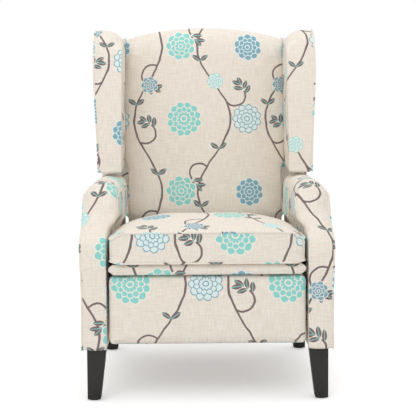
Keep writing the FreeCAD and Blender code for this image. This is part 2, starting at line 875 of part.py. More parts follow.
def make_footrest():
    margin = size("footrest_board_margin")
    low = size("footrest_bottom")
    top = size("footrest_top")
    half = size("panel_half_width")
    rear = footrest_rear()
    board = block("footrest_plywood", (-half + margin, half - margin),
                  (behind(size("footrest_pad_thickness")), rear), (low + margin, top - margin))
    bores = footrest_screw_shafts("board_bore")
    bores += [mirrored(f"board_bore_left_{number}", item) for number, item in enumerate(bores)]
    keep("footrest_board", cut("footrest_board", board, *bores))

    steel = size("angle_thickness")
    upper, lower = pivot("footrest_pivot"), pivot("lower_pivot")
    half_link = size("link_width") / 2
    arm_outline = [
        (rear, lower[1] - half_link - 4),
        (rear, upper[1] + half_link),
        (upper[0] + half_link, upper[1] + half_link),
        (lower[0] + half_link, lower[1]),
        (lower[0] + half_link, lower[1] - half_link - 4),
    ]
    holes = [(upper, size("rivet_radius") + size("running_clearance"))]
    web = plate("footrest_bracket_web", arm_outline, LINK_SIDE, size("steel_thickness"), holes)
    flange = block("footrest_flange", (LINK_SIDE - 25, LINK_SIDE), (rear, rear + steel),
                   (lower[1] - half_link - 4, upper[1] + half_link))
    bracket = fuse("footrest_bracket_blank", web, flange)
    keep_pair("footrest_bracket",
              cut("footrest_bracket", bracket, *footrest_screw_shafts("flange_bore")))

    screws = []
    for number, shaft in enumerate(footrest_screw_shafts("footrest_screw_shaft")):
        x, z = footrest_screw_places()[number]
        cap = rod(f"footrest_screw_head_{number}", "y", (x, rear + steel, z), 2, 5)
        screws.append(fuse(f"footrest_screw_{number}", shaft, cap))
    rivet_set("footrest_screws", screws)
    make_footrest_pad()


def pad_section(y, inset):
    """A cross-section of the footrest pad, with its four corners rounded."""
    half = float(size("panel_half_width")) - inset
    low = float(size("footrest_bottom")) + inset
    top = float(size("footrest_top")) - inset
    corner = 14
    bend = corner * (1 - math.sqrt(0.5))
    points = []
    for x, z, way_x, way_z in ((half, low, -1, 1), (half, top, -1, -1), (-half, top, 1, -1), (-half, low, 1, 1)):
        along = (x + way_x * corner, z)
        up = (x, z + way_z * corner)
        via = (x + way_x * bend, z + way_z * bend, "via")
        ends = (along, up) if way_x * way_z < 0 else (up, along)
        points += [ends[0], via, ends[1]]
    wire = outline_face("front", points).OuterWire
    wire.translate(FreeCAD.Vector(0, y, 0))
    return wire


def make_footrest_pad():
    front = float(behind(0))
    rear = float(behind(size("footrest_pad_thickness")))
    sections = [pad_section(front, 7), pad_section(front + 4, 2), pad_section(front + 12, 0),
                pad_section(rear, 0)]
    keep("footrest_pad", soft_piece("footrest_pad", Part.makeLoft(sections, True, True)))


# Back frame, laid out upright about the hinge
def back_bolt_places():
    middle = (size("post_front") + size("post_rear")) / 2
    return [(middle, size("post_bottom") + rise) for rise in (40, 110)]


def back_bolt_shafts(name):
    start = size("post_outer") - size("post_thickness") + 4
    length = size("post_outer") + size("steel_thickness") - start
    return [rod(f"{name}_{number}", "x", (start, *place), length, size("bolt_radius"))
            for number, place in enumerate(back_bolt_places())]


def make_back_frame():
    outer = size("post_outer")
    inner = outer - size("post_thickness")
    front = size("post_front")
    rear = size("post_rear")
    low = size("post_bottom")
    top = size("post_top")
    height = size("back_rail_height")
    post = block("post_wood", (inner, outer), (front, rear), (low, top))
    keep_pair("back_post", lean(cut("back_post", post, *back_bolt_shafts("post_bore"))))
    rails = {
        "back_top_rail": top - height,
        "back_bottom_rail": low + 30,
    }
    for name, start in rails.items():
        keep(name, lean(block_upright(name, (-inner, inner), (front, rear), (start, start + height))))

    web = size("webbing_width")
    straps = []
    for number in range(6):
        start = low + 110 + number * 90
        straps.append(block(f"strap_{number}", (-outer, outer), (front - size("webbing_thickness"), front),
                            (start, start + web)))
    keep("back_webbing", lean(group("back_webbing", *straps)))


def block_upright(name, x, y, z):
    """A box of the back, held in a group so that the whole group leans."""
    return group(name, block(f"{name}_wood", x, y, z))


def make_back_brackets():
    outer = size("post_outer")
    steel = size("steel_thickness")
    rear = size("post_rear") - 5
    front = size("post_front") + 5
    reach = 16
    outline = [
        (-reach, -reach), (reach, -reach), (rear, size("post_bottom") + 5),
        (rear, size("post_bottom") + 140), (front, size("post_bottom") + 140),
        (front, size("back_pad_bottom") - 6), (-reach, reach),
    ]
    outline = [(as_dim(y), as_dim(z)) for y, z in outline]
    loose = size("hinge_pin_radius") + size("running_clearance")
    holes = [((as_dim(0), as_dim(0)), loose)]
    holes += [(place, size("bolt_radius")) for place in back_bolt_places()]
    bracket = plate("back_bracket_steel", outline, outer, steel, holes)
    keep_pair("back_bracket", lean(group("back_bracket", bracket)))

    bolts = []
    for number, shaft in enumerate(back_bolt_shafts("back_bolt_shaft")):
        place = back_bolt_places()[number]
        cap = rod(f"back_bolt_head_{number}", "x", (outer + steel, *place), size("bolt_head_height"),
                  size("bolt_head_radius"))
        bolts.append(fuse(f"back_bolt_{number}", shaft, cap))
    bolts += [mirrored(f"back_bolt_left_{number}", bolt) for number, bolt in enumerate(bolts)]
    keep("back_bolts", lean(group("back_bolts", *bolts)))

    hinge = (behind(size("hinge_depth")), size("hinge_height"))
    plate_outer = size("seat_plate_side") + steel
    radius = size("hinge_pin_radius")
    pin = rod("hinge_pin_shaft", "x", (outer - 4, *hinge), plate_outer + 3 - outer + 4, radius)
    inner_head = rod("hinge_pin_inner_head", "x", (outer - 4, *hinge), 3.9, radius + 4)
    outer_head = rod("hinge_pin_outer_head", "x", (plate_outer, *hinge), 3, radius + 4)
    rivet_set("back_hinge_pins", [fuse("back_hinge_pin", pin, inner_head, outer_head)])


# Back cushion, wings and outside back
def back_section(height, half_width, face, rear):
    """A level slice through the back cushion: flat behind, crowned in front."""
    corners = [
        FreeCAD.Vector(-half_width, rear, height),
        FreeCAD.Vector(half_width, rear, height),
        FreeCAD.Vector(half_width, face + float(size("back_crown")), height),
        FreeCAD.Vector(-half_width, face + float(size("back_crown")), height),
    ]
    edges = [
        Part.LineSegment(corners[0], corners[1]),
        Part.LineSegment(corners[1], corners[2]),
        Part.Arc(corners[2], FreeCAD.Vector(0, face - float(size("back_crown")), height), corners[3]),
        Part.LineSegment(corners[3], corners[0]),
    ]
    return Part.Wire([edge.toShape() for edge in edges])


def make_back_cushion():
    face = float(size("back_face"))
    rear = float(size("back_pad_rear"))
    low = float(size("back_pad_bottom"))
    top = float(size("back_pad_top"))
    wide = float(size("back_half_width")) + 20
    sections = [
        back_section(low, wide, face + 26, rear),
        back_section(low + 14, wide, face + 12, rear),
        back_section(low + 60, wide, face + 2, rear),
        back_section(low + 240, wide, face, rear),
        back_section(top - 150, wide, face, rear),
        back_section(top - 70, wide, face + 5, rear),
        back_section(top - 30, wide, face + 17, rear),
        back_section(top - 8, wide, face + 36, rear),
        back_section(top, wide, face + 60, rear),
    ]
    crowned = Part.makeLoft(sections, True, True)
    half = size("back_half_width")
    low_half = size("back_low_half_width")
    widening = size("back_widening")
    shoulder = size("back_pad_shoulder")
    outline = [
        (-low_half, size("back_pad_bottom")), (low_half, size("back_pad_bottom")),
        (low_half, widening - 20), (half, widening), (half, shoulder - 20),
        (half - 6, shoulder - 6, "via"), (half - 20, shoulder),
        (0, size("back_pad_top"), "via"), (-half + 20, shoulder),
        (-half + 6, shoulder - 6, "via"), (-half, shoulder - 20),
        (-half, widening), (-low_half, widening - 20),
    ]
    shape = crowned.common(swept(outline_face("front", outline), FreeCAD.Vector(0, 1000, 0)))
    keep("back_cushion", lean(soft_piece("back_cushion", shape.removeSplitter())))


def wing_side_outline():
    front_low = size("wing_front_bottom")
    front_top = size("wing_front_top")
    rear = size("post_rear")
    return [
        (front_low, size("wing_bottom_front")),
        (front_low + 2, size("wing_bottom_front") + 190, "via"),
        (front_top, size("wing_top_front") - 92),
        (front_top + 16, size("wing_top_front") - 27, "via"),
        (front_top + 68, size("wing_top_front")),
        (rear, size("wing_top_rear")),
        (rear, size("wing_bottom_rear")),
        (front_low + 165, size("wing_bottom_front") + 46),
    ]


def wing_front_outline():
    inner = size("wing_inner")
    outer_top = size("wing_outer_top")
    outer_low = size("wing_outer_bottom")
    low = size("wing_bottom_front")
    top = size("wing_top_rear")
    return [
        (inner, low), (inner, top - 48),
        (inner + 20, top - 16, "via"), (inner + 58, top),
        (outer_top - 6, top), (outer_top, top - 60), (outer_top, top - 110),
        (outer_low, low + 20), (outer_low - 6, low),
    ]


def wing_panel_outline():
    """The plywood inside a wing keeps this far inside its padding."""
    inset = 24
    front_low = size("wing_front_bottom") + inset
    front_top = size("wing_front_top") + inset + 6
    rear = size("post_rear")
    return [
        (front_low, size("wing_bottom_front") + inset),
        (front_top, size("wing_top_front") - 110),
        (front_top + 62, size("wing_top_front") - inset),
        (rear, size("wing_top_rear") - inset),
        (rear, size("wing_bottom_rear") + inset),
        (front_low + 150, size("wing_bottom_front") + 46 + inset),
    ]


def wing_cleats(name, inner):
    """Blocks that join the back post to the wing's plywood panel."""
    low = size("wing_bottom_rear") + 40
    return [block(f"{name}_{number}", (inner, size("wing_panel_side") + 1),
                  (size("post_front") + 4, size("post_rear") - 4), (start, start + 60))
            for number, start in enumerate((low, size("wing_top_rear") - 130))]


def make_wings():
    side = size("wing_panel_side")
    thickness = size("wing_panel_thickness")
    panel = plate("wing_panel", wing_panel_outline(), side, thickness)
    frame = fuse("wing_frame_whole", panel, *wing_cleats("wing_cleat", size("post_outer")))
    keep_pair("wing_frame", lean(group("wing_frame", frame)))

    across = FreeCAD.Vector(1000, 0, 0)
    along = FreeCAD.Vector(0, 1000, 0)
    whole = swept(outline_face("side", wing_side_outline()), across)
    padded = whole.common(swept(outline_face("front", wing_front_outline()), along))
    cavity = outline_face("side", wing_panel_outline()).extrude(FreeCAD.Vector(float(thickness), 0, 0))
    cavity.translate(FreeCAD.Vector(float(side), 0, 0))
    padding = soft_piece("wing_padding", padded.cut(cavity).removeSplitter())
    notches = wing_cleats("wing_notch", size("wing_inner") - 1)
    keep_pair("wing_cover", lean(cut("wing_cover", padding, *notches)))


def make_outside_back():
    low_half = size("outside_back_low_half_width")
    half = size("outside_back_half_width")
    step = size("wing_bottom_rear")
    top = size("outside_back_top")
    outline = [
        (-low_half, size("post_bottom")), (low_half, size("post_bottom")), (low_half, step - 12),
        (half - 14, step), (half, top - 80), (half - 4, top - 10), (half - 20, top - 2),
        (0, top + 6, "via"), (-half + 20, top - 2), (-half + 4, top - 10), (-half, top - 80),
        (-half + 14, step), (-low_half, step - 12),
    ]
    front = size("post_rear")
    depth = size("outside_back_rear") - front
    panel = outline_face("front", outline).translated(FreeCAD.Vector(0, float(front), 0))
    panel = panel.extrude(FreeCAD.Vector(0, float(depth), 0))

    cap_half = size("back_half_width") - 8
    cap_low = size("post_top")
    cap_outline = [
        (-cap_half, cap_low), (cap_half, cap_low), (cap_half, cap_low + 8),
        (0, top - 3, "via"), (-cap_half, cap_low + 8),
    ]
    cap_front = float(size("back_pad_rear")) + 1
    cap = outline_face("front", cap_outline).translated(FreeCAD.Vector(0, cap_front, 0))
    cap = cap.extrude(FreeCAD.Vector(0, float(front) - cap_front, 0))
    keep("outside_back", lean(soft_piece("outside_back", panel.fuse(cap).removeSplitter())))


make_arms()
make_legs()
make_base_rails()
make_seat_frame()
make_seat_rollers()
make_springs()
make_seat_cushion()
make_seat_band()
make_linkage()
make_footrest()
make_back_frame()
make_back_brackets()
make_back_cushion()
make_wings()
make_outside_back()
document.recompute()

faulty = [item.Name for item in document.Objects if {"Invalid", "Error"} & set(item.State)]
if faulty:
    raise RuntimeError(f"these objects failed: {faulty}")
for piece_name, piece in PIECES:
    shape = piece.Shape
    if shape.isNull() or not shape.isValid() or not shape.Solids:
        raise RuntimeError(f"{piece_name} has no sound shape")

os.makedirs("parts", exist_ok=True)
for piece_name, piece in PIECES:
    piece.Shape.exportStep(f"parts/{piece_name}.step")
print(len(PIECES), "pieces")
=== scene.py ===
# %% [markdown]
# A wing chair that reclines when its sitter pushes back. The maker of such a chair nails and screws a frame,
# pads it, and pulls printed cloth over the padding. This lesson does the same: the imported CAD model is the
# frame, and each cell below makes one part of the cover, or one finish, in the place that the frame gives.

# %% The tools and the frame
import json
import math
import bpy
import bmesh
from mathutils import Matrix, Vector


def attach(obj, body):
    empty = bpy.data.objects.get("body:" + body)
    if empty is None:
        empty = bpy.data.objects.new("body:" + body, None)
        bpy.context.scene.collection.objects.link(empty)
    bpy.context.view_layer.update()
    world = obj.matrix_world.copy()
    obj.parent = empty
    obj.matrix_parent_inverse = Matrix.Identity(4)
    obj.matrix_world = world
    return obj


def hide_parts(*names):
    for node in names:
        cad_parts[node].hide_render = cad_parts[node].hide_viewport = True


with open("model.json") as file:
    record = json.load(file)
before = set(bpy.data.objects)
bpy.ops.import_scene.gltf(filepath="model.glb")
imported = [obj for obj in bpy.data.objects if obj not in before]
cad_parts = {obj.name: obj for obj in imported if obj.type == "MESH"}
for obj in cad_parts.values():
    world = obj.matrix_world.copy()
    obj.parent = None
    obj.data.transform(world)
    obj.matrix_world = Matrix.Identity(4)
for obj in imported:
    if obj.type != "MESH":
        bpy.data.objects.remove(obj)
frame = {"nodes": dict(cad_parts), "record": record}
scene = bpy.context.scene
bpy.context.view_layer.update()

# %% [markdown]
# Upholstery is measured in millimetres, and Blender works in metres. Depths on this chair are measured
# backwards from the front faces of its arms, as its maker would do with a rule. The back is laid out upright
# about its hinge and then leaned, so one function turns a place on the back into a place in the room.

# %% Places on the chair
MM = 0.001
# The frame's middle lies this far behind the arm fronts
CENTRE_DEPTH = 399
HINGE_DEPTH = 560
HINGE_HEIGHT = 330
# How far the back leans at rest, and how far up it its top centre lies
BACK_TILT = math.radians(10)
BACK_TOP = 725


def in_room(x, depth, height):
    """A point from millimetres across, behind the arm fronts and up, in metres."""
    return Vector((x, depth - CENTRE_DEPTH, height)) * MM


def on_back(x, behind, up):
    """A point of the back, from millimetres behind the hinge and up the back, in metres."""
    depth = HINGE_DEPTH + behind * math.cos(BACK_TILT) + up * math.sin(BACK_TILT)
    height = HINGE_HEIGHT + up * math.cos(BACK_TILT) - behind * math.sin(BACK_TILT)
    return in_room(x, depth, height)


def ease(low, high, value):
    """0 below low, 1 above high, and a smooth step between them."""
    share = min(max((value - low) / (high - low), 0), 1)
    return share * share * (3 - 2 * share)


print("the back's top centre is at", [round(c, 3) for c in on_back(0, 0, BACK_TOP)])

# %% [markdown]
# Colours are written the way paint and web colours are, as sRGB hex. A shader works in linear light, so one
# function turns each into linear values. Another adds one node with its settings and its links.

# %% Colours and nodes
def linear(hex_colour):
    """An sRGB hex colour as linear red, green, blue and alpha."""
    parts = [int(hex_colour[start:start + 2], 16) / 255 for start in (1, 3, 5)]
    return tuple(c / 12.92 if c <= 0.04045 else ((c + 0.055) / 1.055) ** 2.4 for c in parts) + (1,)


def node(tree, kind, settings=None, **sockets):
    """Add one node. settings is a dictionary of its settings, or just its operation.

    A socket given a number or colour is set, and one given a node or output is linked."""
    made = tree.nodes.new(kind)
    if isinstance(settings, str):
        settings = {"operation": settings}
    for setting, value in (settings or {}).items():
        setattr(made, setting, value)
    for name, value in sockets.items():
        place = int(name[1:]) if name[1:].isdigit() else name.replace("_", " ")
        if isinstance(value, bpy.types.Node):
            value = value.outputs[0]
        if isinstance(value, bpy.types.NodeSocket):
            tree.links.new(value, made.inputs[place])
        else:
            made.inputs[place].default_value = value
    return made


def new_material(name):
    """A material with an empty node tree."""
    made = bpy.data.materials.new(name)
    made.use_nodes = True
    made.node_tree.nodes.clear()
    return made, made.node_tree


# %% [markdown]
# The cloth's print repeats in a tile, as any screen print does. Each motif is a small node group that draws
# one shape from the cloth's own coordinates in metres: a flower from its radius and angle, a leaf as a lens,
# a stem as a swaying line. Groups keep the tree readable, because the tile then is a list of places. The
# motifs are made up for this lesson.

# %% Motifs of the print
MATH = "ShaderNodeMath"
VECTOR = "ShaderNodeVectorMath"
TILE = (0.42, 0.46)
STEM_HALF = 0.0028
# A swaying stem is measured straight across the cloth, so it is drawn wider to look as wide where it slants
STEM_SLANT = 1.15
VEIN_HALF = 0.0009
# Each tier of petals ends at a share of the flower's radius. 1.57 turns a tier by half a petal
PETAL_TIERS = ((1.0, 0.0), (0.7, 1.57), (0.42, 0.0))
# Shares of the radius, or of a tier's: how round a petal's end is, where petals part, and the eye's ring
PETAL_ROUND = 0.17
PETAL_START = 0.66
EYE_RING = 0.16
LINE_HALF = 0.035
PETAL_GAP = 0.16


def merged(tree, masks):
    """One mask that is 1 wherever any of these is."""
    whole = masks[0]
    for mask in masks[1:]:
        whole = node(tree, MATH, "MAXIMUM", i0=whole, i1=mask)
    return whole


def motif(name, inputs, outputs=("Shape",)):
    """An empty motif group with the cloth's coordinates and these numbers as inputs."""
    tree = bpy.data.node_groups.new(name, "ShaderNodeTree")
    tree.interface.new_socket("Cloth", in_out="INPUT", socket_type="NodeSocketVector")
    tree.interface.new_socket("Centre", in_out="INPUT", socket_type="NodeSocketVector")
    for label in inputs:
        tree.interface.new_socket(label, in_out="INPUT", socket_type="NodeSocketFloat")
    for label in outputs:
        tree.interface.new_socket(label, in_out="OUTPUT", socket_type="NodeSocketFloat")
    given = node(tree, "NodeGroupInput").outputs
    away = node(tree, VECTOR, "SUBTRACT", i0=given["Cloth"], i1=given["Centre"])
    half = (TILE[0] / 2, TILE[1] / 2, 1)
    near = node(tree, VECTOR, "WRAP", i0=away, i1=half, i2=tuple(-side for side in half))
    return tree, given, near


def flower_motif():
    """Three tiers of round petals: the whole flower, and the lines between its petals."""
    tree, given, near = motif("flower", ("Radius", "Petals"), ("Shape", "Lines"))
    parts = node(tree, "ShaderNodeSeparateXYZ", Vector=near)
    reach = node(tree, VECTOR, "LENGTH", i0=near).outputs["Value"]
    share = node(tree, MATH, "DIVIDE", i0=reach, i1=given["Radius"])
    angle = node(tree, MATH, "ARCTAN2", i0=parts.outputs["Y"], i1=parts.outputs["X"])
    turns = node(tree, MATH, "MULTIPLY", i0=angle, i1=given["Petals"])
    half_turns = node(tree, MATH, "MULTIPLY", i0=turns, i1=0.5)
    tiers = []
    lines = []
    for tier_end, phase in PETAL_TIERS:
        shifted = node(tree, MATH, "ADD", i0=half_turns, i1=phase)
        wave = node(tree, MATH, "SINE", i0=shifted)
        lobe = node(tree, MATH, "ABSOLUTE", i0=wave)
        round_end = PETAL_ROUND * tier_end
        edge = node(tree, MATH, "MULTIPLY_ADD", i0=lobe, i1=round_end, i2=tier_end - round_end)
        inside = node(tree, MATH, "LESS_THAN", i0=share, i1=edge)
        outside = node(tree, MATH, "GREATER_THAN", i0=share, i1=tier_end * PETAL_START)
        gap = node(tree, MATH, "LESS_THAN", i0=lobe, i1=PETAL_GAP)
        spoke = node(tree, MATH, "MULTIPLY", i0=gap, i1=inside)
        spoke = node(tree, MATH, "MULTIPLY", i0=spoke, i1=outside)
        rim = node(tree, MATH, "COMPARE", i0=share, i1=edge, i2=LINE_HALF)
        tiers.append(inside)
        lines += [rim, spoke]
    lines.append(node(tree, MATH, "COMPARE", i0=share, i1=EYE_RING, i2=LINE_HALF))
    node(tree, "NodeGroupOutput", Shape=tiers[0], Lines=merged(tree, lines))
    return tree


def leaf_motif():
    """A lens turned about its centre, and the light vein along it."""
    tree, given, near = motif("leaf", ("Turn", "Long", "Wide"), ("Shape", "Lines"))
    turned = node(tree, "ShaderNodeVectorRotate", {"rotation_type": "Z_AXIS"}, Vector=near,
                  Angle=given["Turn"])
    parts = node(tree, "ShaderNodeSeparateXYZ", Vector=turned)
    share = node(tree, MATH, "DIVIDE", i0=parts.outputs["X"], i1=given["Long"])
    square = node(tree, MATH, "MULTIPLY", i0=share, i1=share)
    fill = node(tree, MATH, "SUBTRACT", i0=1.0, i1=square)
    width = node(tree, MATH, "MULTIPLY", i0=fill, i1=given["Wide"])
    side = node(tree, MATH, "ABSOLUTE", i0=parts.outputs["Y"])
    shape = node(tree, MATH, "LESS_THAN", i0=side, i1=width)
    thin = node(tree, MATH, "LESS_THAN", i0=side, i1=VEIN_HALF)
    vein = node(tree, MATH, "MULTIPLY", i0=shape, i1=thin)
    node(tree, "NodeGroupOutput", Shape=shape, Lines=vein)
    return tree


def stem_motif():
    """A line that sways from side to side once in a tile."""
    tree, given, near = motif("stem", ("Sway",))
    parts = node(tree, "ShaderNodeSeparateXYZ", Vector=near)
    angle = node(tree, MATH, "MULTIPLY", i0=parts.outputs["Y"], i1=2 * math.pi / TILE[1])
    sine = node(tree, MATH, "SINE", i0=angle)
    line = node(tree, MATH, "MULTIPLY", i0=sine, i1=given["Sway"])
    shape = node(tree, MATH, "COMPARE", i0=parts.outputs["X"], i1=line, i2=STEM_HALF * STEM_SLANT)
    node(tree, "NodeGroupOutput", Shape=shape)
    return tree


def bow_motif():
    """Half of a ring, as a side stem that bows out."""
    tree, given, near = motif("bow", ("Radius", "Turn"))
    turned = node(tree, "ShaderNodeVectorRotate", {"rotation_type": "Z_AXIS"}, Vector=near,
                  Angle=given["Turn"])
    parts = node(tree, "ShaderNodeSeparateXYZ", Vector=turned)
    reach = node(tree, VECTOR, "LENGTH", i0=near).outputs["Value"]
    ring = node(tree, MATH, "COMPARE", i0=reach, i1=given["Radius"], i2=STEM_HALF)
    upper = node(tree, MATH, "GREATER_THAN", i0=parts.outputs["Y"], i1=0.0)
    shape = node(tree, MATH, "MULTIPLY", i0=ring, i1=upper)
    node(tree, "NodeGroupOutput", Shape=shape)
    return tree


FLOWER = flower_motif()
LEAF = leaf_motif()
STEM = stem_motif()
BOW = bow_motif()
print("a flower takes", len(FLOWER.nodes), "nodes")

# %% [markdown]
# The real cloth is a cream linen-look weave of uneven yarns, printed with flat inks. So the ground gets long
# thin streaks both ways, which tell the eye that the yarns vary, and the same streaks lift the surface a
# little. A real yarn is about 0.7 mm, finer than a pixel here, so the streaks are drawn 3 mm apart. The inks
# follow in the order they are printed: stems, leaves, then flowers on top.

# %% Layout of the print
LINEN_LIGHT = "#EFE7DC"
LINEN_SHADE = "#E0D5C8"
STEM_INK = "#7A6A69"
AQUA_INK = "#8ED3CC"
SLATE_INK = "#7FA9B8"
PALE_INK = "#DCE9E6"
# Each stem's place in the tile and its sway, in metres
STEM_PLACES = (((0.19, 0.0, 0), 0.052), ((0.40, 0.0, 0), -0.045))
# Each flower's centre, radius and count of petals, and the inks of its petals and of the lines between them
FLOWER_PLACES = (
    ((0.095, 0.115, 0), 0.056, 12, AQUA_INK, LINEN_LIGHT),
    ((0.300, 0.345, 0), 0.044, 10, SLATE_INK, PALE_INK),
    ((0.295, 0.115, 0), 0.046, 11, PALE_INK, SLATE_INK),
    ((0.085, 0.350, 0), 0.048, 9, AQUA_INK, LINEN_LIGHT),
    ((0.405, 0.225, 0), 0.027, 7, SLATE_INK, LINEN_LIGHT),
    ((0.195, 0.235, 0), 0.025, 7, PALE_INK, AQUA_INK),
)
# Each bow leaves a stem (0 or 1) at a height up the tile, with this radius and turned this way
BOWS = ((0, 0.175, 0.034, 2.7), (0, 0.425, 0.030, 5.6), (1, 0.045, 0.032, 2.2), (1, 0.285, 0.034, 5.2))
# Pairs of leaves sit on the stems themselves, where no flower hides them
PAIRS = ((0, 0.02), (0, 0.30), (1, 0.16), (1, 0.40))
# How far along its stem a leaf starts, in metres, and how far it turns from it: at a bow's end, and in a pair
SPRIG = ((0.034, 0.0), (0.022, 0.8), (0.006, -0.8), (0.006, 0.95), (-0.010, -0.95))
PAIR = ((0.0, 0.9), (0.0, -0.9))
# Half of a leaf's length, and half of its width
LEAF_LONG = 0.016
LEAF_WIDE = 0.0072


def stem_point(stem, height):
    """The point of a stem at a height up the tile."""
    (x, _, _), sway = STEM_PLACES[stem]
    return Vector((x + sway * math.sin(2 * math.pi * height / TILE[1]), height))


def bow_places():
    """For each bow its centre, radius and turn, and then its free end and the way it points there."""
    for stem, height, radius, turn in BOWS:
        lean = Vector((math.cos(turn), -math.sin(turn)))
        centre = stem_point(stem, height) - lean * radius
        yield centre, radius, turn, centre - lean * radius, math.atan2(-math.cos(turn), -math.sin(turn))


def leaf_places():
    """The middle and direction of each leaf: a sprig at each bow's end, and the pairs on the stems."""
    groups = [(end, way, SPRIG) for _, _, _, end, way in bow_places()]
    groups += [(stem_point(stem, height), math.pi / 2, PAIR) for stem, height in PAIRS]
    for start, way, leaves in groups:
        forward = Vector((math.cos(way), math.sin(way)))
        for along, turn in leaves:
            direction = way + turn
            out = Vector((math.cos(direction), math.sin(direction))) * (LEAF_LONG if turn else 0)
            middle = start + forward * along + out
            yield (middle.x, middle.y, 0), direction


print("the tile has", len(list(leaf_places())), "leaves and", len(FLOWER_PLACES), "flowers")

# %% Printed linen
# Streaks in a metre, along a yarn and across the yarns
STREAKS_ALONG = 25
STREAKS_ACROSS = 330
# A stencil's edges wander a little: waves in a metre, and how far they reach, in metres
STENCIL_WAVES = 28.0
STENCIL_REACH = 0.007


def linen_ground(tree, cloth):
    """The bare cloth's colour, and the height of its weave."""
    streaks = []
    for scale in ((STREAKS_ALONG, STREAKS_ACROSS, 1), (STREAKS_ACROSS, STREAKS_ALONG, 1)):
        stretched = node(tree, "ShaderNodeMapping", Vector=cloth, Scale=scale)
        streaks.append(node(tree, "ShaderNodeTexNoise", Vector=stretched, Scale=1.0, Detail=2.0))
    weave = node(tree, MATH, "ADD", i0=streaks[0], i1=streaks[1])
    weave = node(tree, MATH, "MULTIPLY", i0=weave, i1=0.5)
    spread = node(tree, "ShaderNodeMapRange", i0=weave, i1=0.36, i2=0.64)
    mixed = node(tree, "ShaderNodeMix", {"data_type": "RGBA"}, i0=spread, i6=linear(LINEN_SHADE),
                 i7=linear(LINEN_LIGHT))
    return mixed.outputs[2], weave


def plant_masks(tree, drawn):
    """The mask of all stems and leaves, and the mask of the leaves' veins."""
    plants = [node(tree, "ShaderNodeGroup", {"node_tree": STEM}, Cloth=drawn, Centre=centre, Sway=sway)
              for centre, sway in STEM_PLACES]
    plants += [node(tree, "ShaderNodeGroup", {"node_tree": BOW}, Cloth=drawn, Centre=(*centre, 0),
                    Radius=radius, Turn=turn) for centre, radius, turn, _, _ in bow_places()]
    leaves = [node(tree, "ShaderNodeGroup", {"node_tree": LEAF}, Cloth=drawn, Centre=centre, Turn=-turn,
                   Long=LEAF_LONG, Wide=LEAF_WIDE) for centre, turn in leaf_places()]
    return merged(tree, plants + leaves), merged(tree, [leaf.outputs["Lines"] for leaf in leaves])


def flower_masks(tree, drawn):
    """For each flower a mask and an ink for its petals, and then for the lines between them."""
    for centre, radius, petals, fill, line in FLOWER_PLACES:
        bloom = node(tree, "ShaderNodeGroup", {"node_tree": FLOWER}, Cloth=drawn, Centre=centre,
                     Radius=radius, Petals=float(petals))
        yield bloom.outputs["Shape"], fill
        yield bloom.outputs["Lines"], line


def printed_linen():
    """The cloth: its ground, and each ink laid over what was printed before."""
    made, tree = new_material("printed_linen")
    cloth = node(tree, "ShaderNodeUVMap", {"uv_map": "cloth"})
    waves = node(tree, "ShaderNodeTexNoise", Vector=cloth, Scale=STENCIL_WAVES, Detail=1.0)
    centred = node(tree, VECTOR, "SUBTRACT", i0=waves.outputs["Color"], i1=(0.5, 0.5, 0.5))
    wander = node(tree, VECTOR, "SCALE", i0=centred, Scale=STENCIL_REACH)
    drawn = node(tree, VECTOR, "ADD", i0=cloth, i1=wander)
    colour, weave = linen_ground(tree, cloth)
    plants, veins = plant_masks(tree, drawn)
    for mask, ink in ((plants, STEM_INK), (veins, AQUA_INK), *flower_masks(tree, drawn)):
        printed = node(tree, "ShaderNodeMix", {"data_type": "RGBA"}, i0=mask, i6=colour, i7=linear(ink))
        colour = printed.outputs[2]
    raised = node(tree, "ShaderNodeBump", Height=weave, Strength=0.35, Distance=0.0012)
    shader = node(tree, "ShaderNodeBsdfPrincipled", Base_Color=colour, Roughness=0.92, Normal=raised,
                  Sheen_Weight=0.08)
    node(tree, "ShaderNodeOutputMaterial", Surface=shader)
    return made


PRINTED_LINEN = printed_linen()
print("the printed cloth takes", len(PRINTED_LINEN.node_tree.nodes), "nodes")

# %% [markdown]
# The frame's finishes are all two close tones mixed by a pattern, with the pattern also roughening the
# surface: long grain in lacquered or bare wood, fine peel in sprayed steel, crystals in zinc, yarns in jute.
# One function makes them, because only the pattern's stretch, the tones and the gloss tell them apart.

# %% Wood, steel, jute and nylon
GLOSS_SPREAD = 0.06


def toned(name, dark, light, stretch, roughness, metallic=0.0, kind="ShaderNodeTexNoise", lift=0.0004):
    """A finish of two tones. stretch is how many pattern cells fit in a metre along x, y and z."""
    made, tree = new_material(name)
    place = node(tree, "ShaderNodeTexCoord")
    stretched = node(tree, "ShaderNodeMapping", Vector=place.outputs["Object"], Scale=stretch)
    pattern = node(tree, kind, Vector=stretched, Scale=1.0)
    value = pattern.outputs["Distance" if kind == "ShaderNodeTexVoronoi" else 0]
    tone = node(tree, "ShaderNodeMix", {"data_type": "RGBA"}, i0=value, i6=linear(dark), i7=linear(light))
    rough = node(tree, "ShaderNodeMapRange", i0=value, i3=roughness - GLOSS_SPREAD,
                 i4=roughness + GLOSS_SPREAD)
    raised = node(tree, "ShaderNodeBump", Height=value, Strength=0.25, Distance=lift)
    shader = node(tree, "ShaderNodeBsdfPrincipled", Base_Color=tone.outputs[2], Metallic=metallic,
                  Roughness=rough, Normal=raised)
    node(tree, "ShaderNodeOutputMaterial", Surface=shader)
    return made


# Satin lacquer fills the grain, so only a trace of it is left along the leg
BLACK_SATIN_WOOD = toned("black_satin_lacquered_wood", "#121110", "#221F1D", (260, 260, 14), 0.36)
# Sawn hardwood and plywood: broad soft streaks along the board
FRAME_WOOD = toned("bare_frame_wood", "#B28C5C", "#D2B183", (18, 18, 120), 0.62)
# Sprayed enamel leaves a fine peel that breaks up its highlights
BLACK_STEEL = toned("black_enamelled_steel", "#1A1A1C", "#2A2A2C", (400, 400, 400), 0.42)
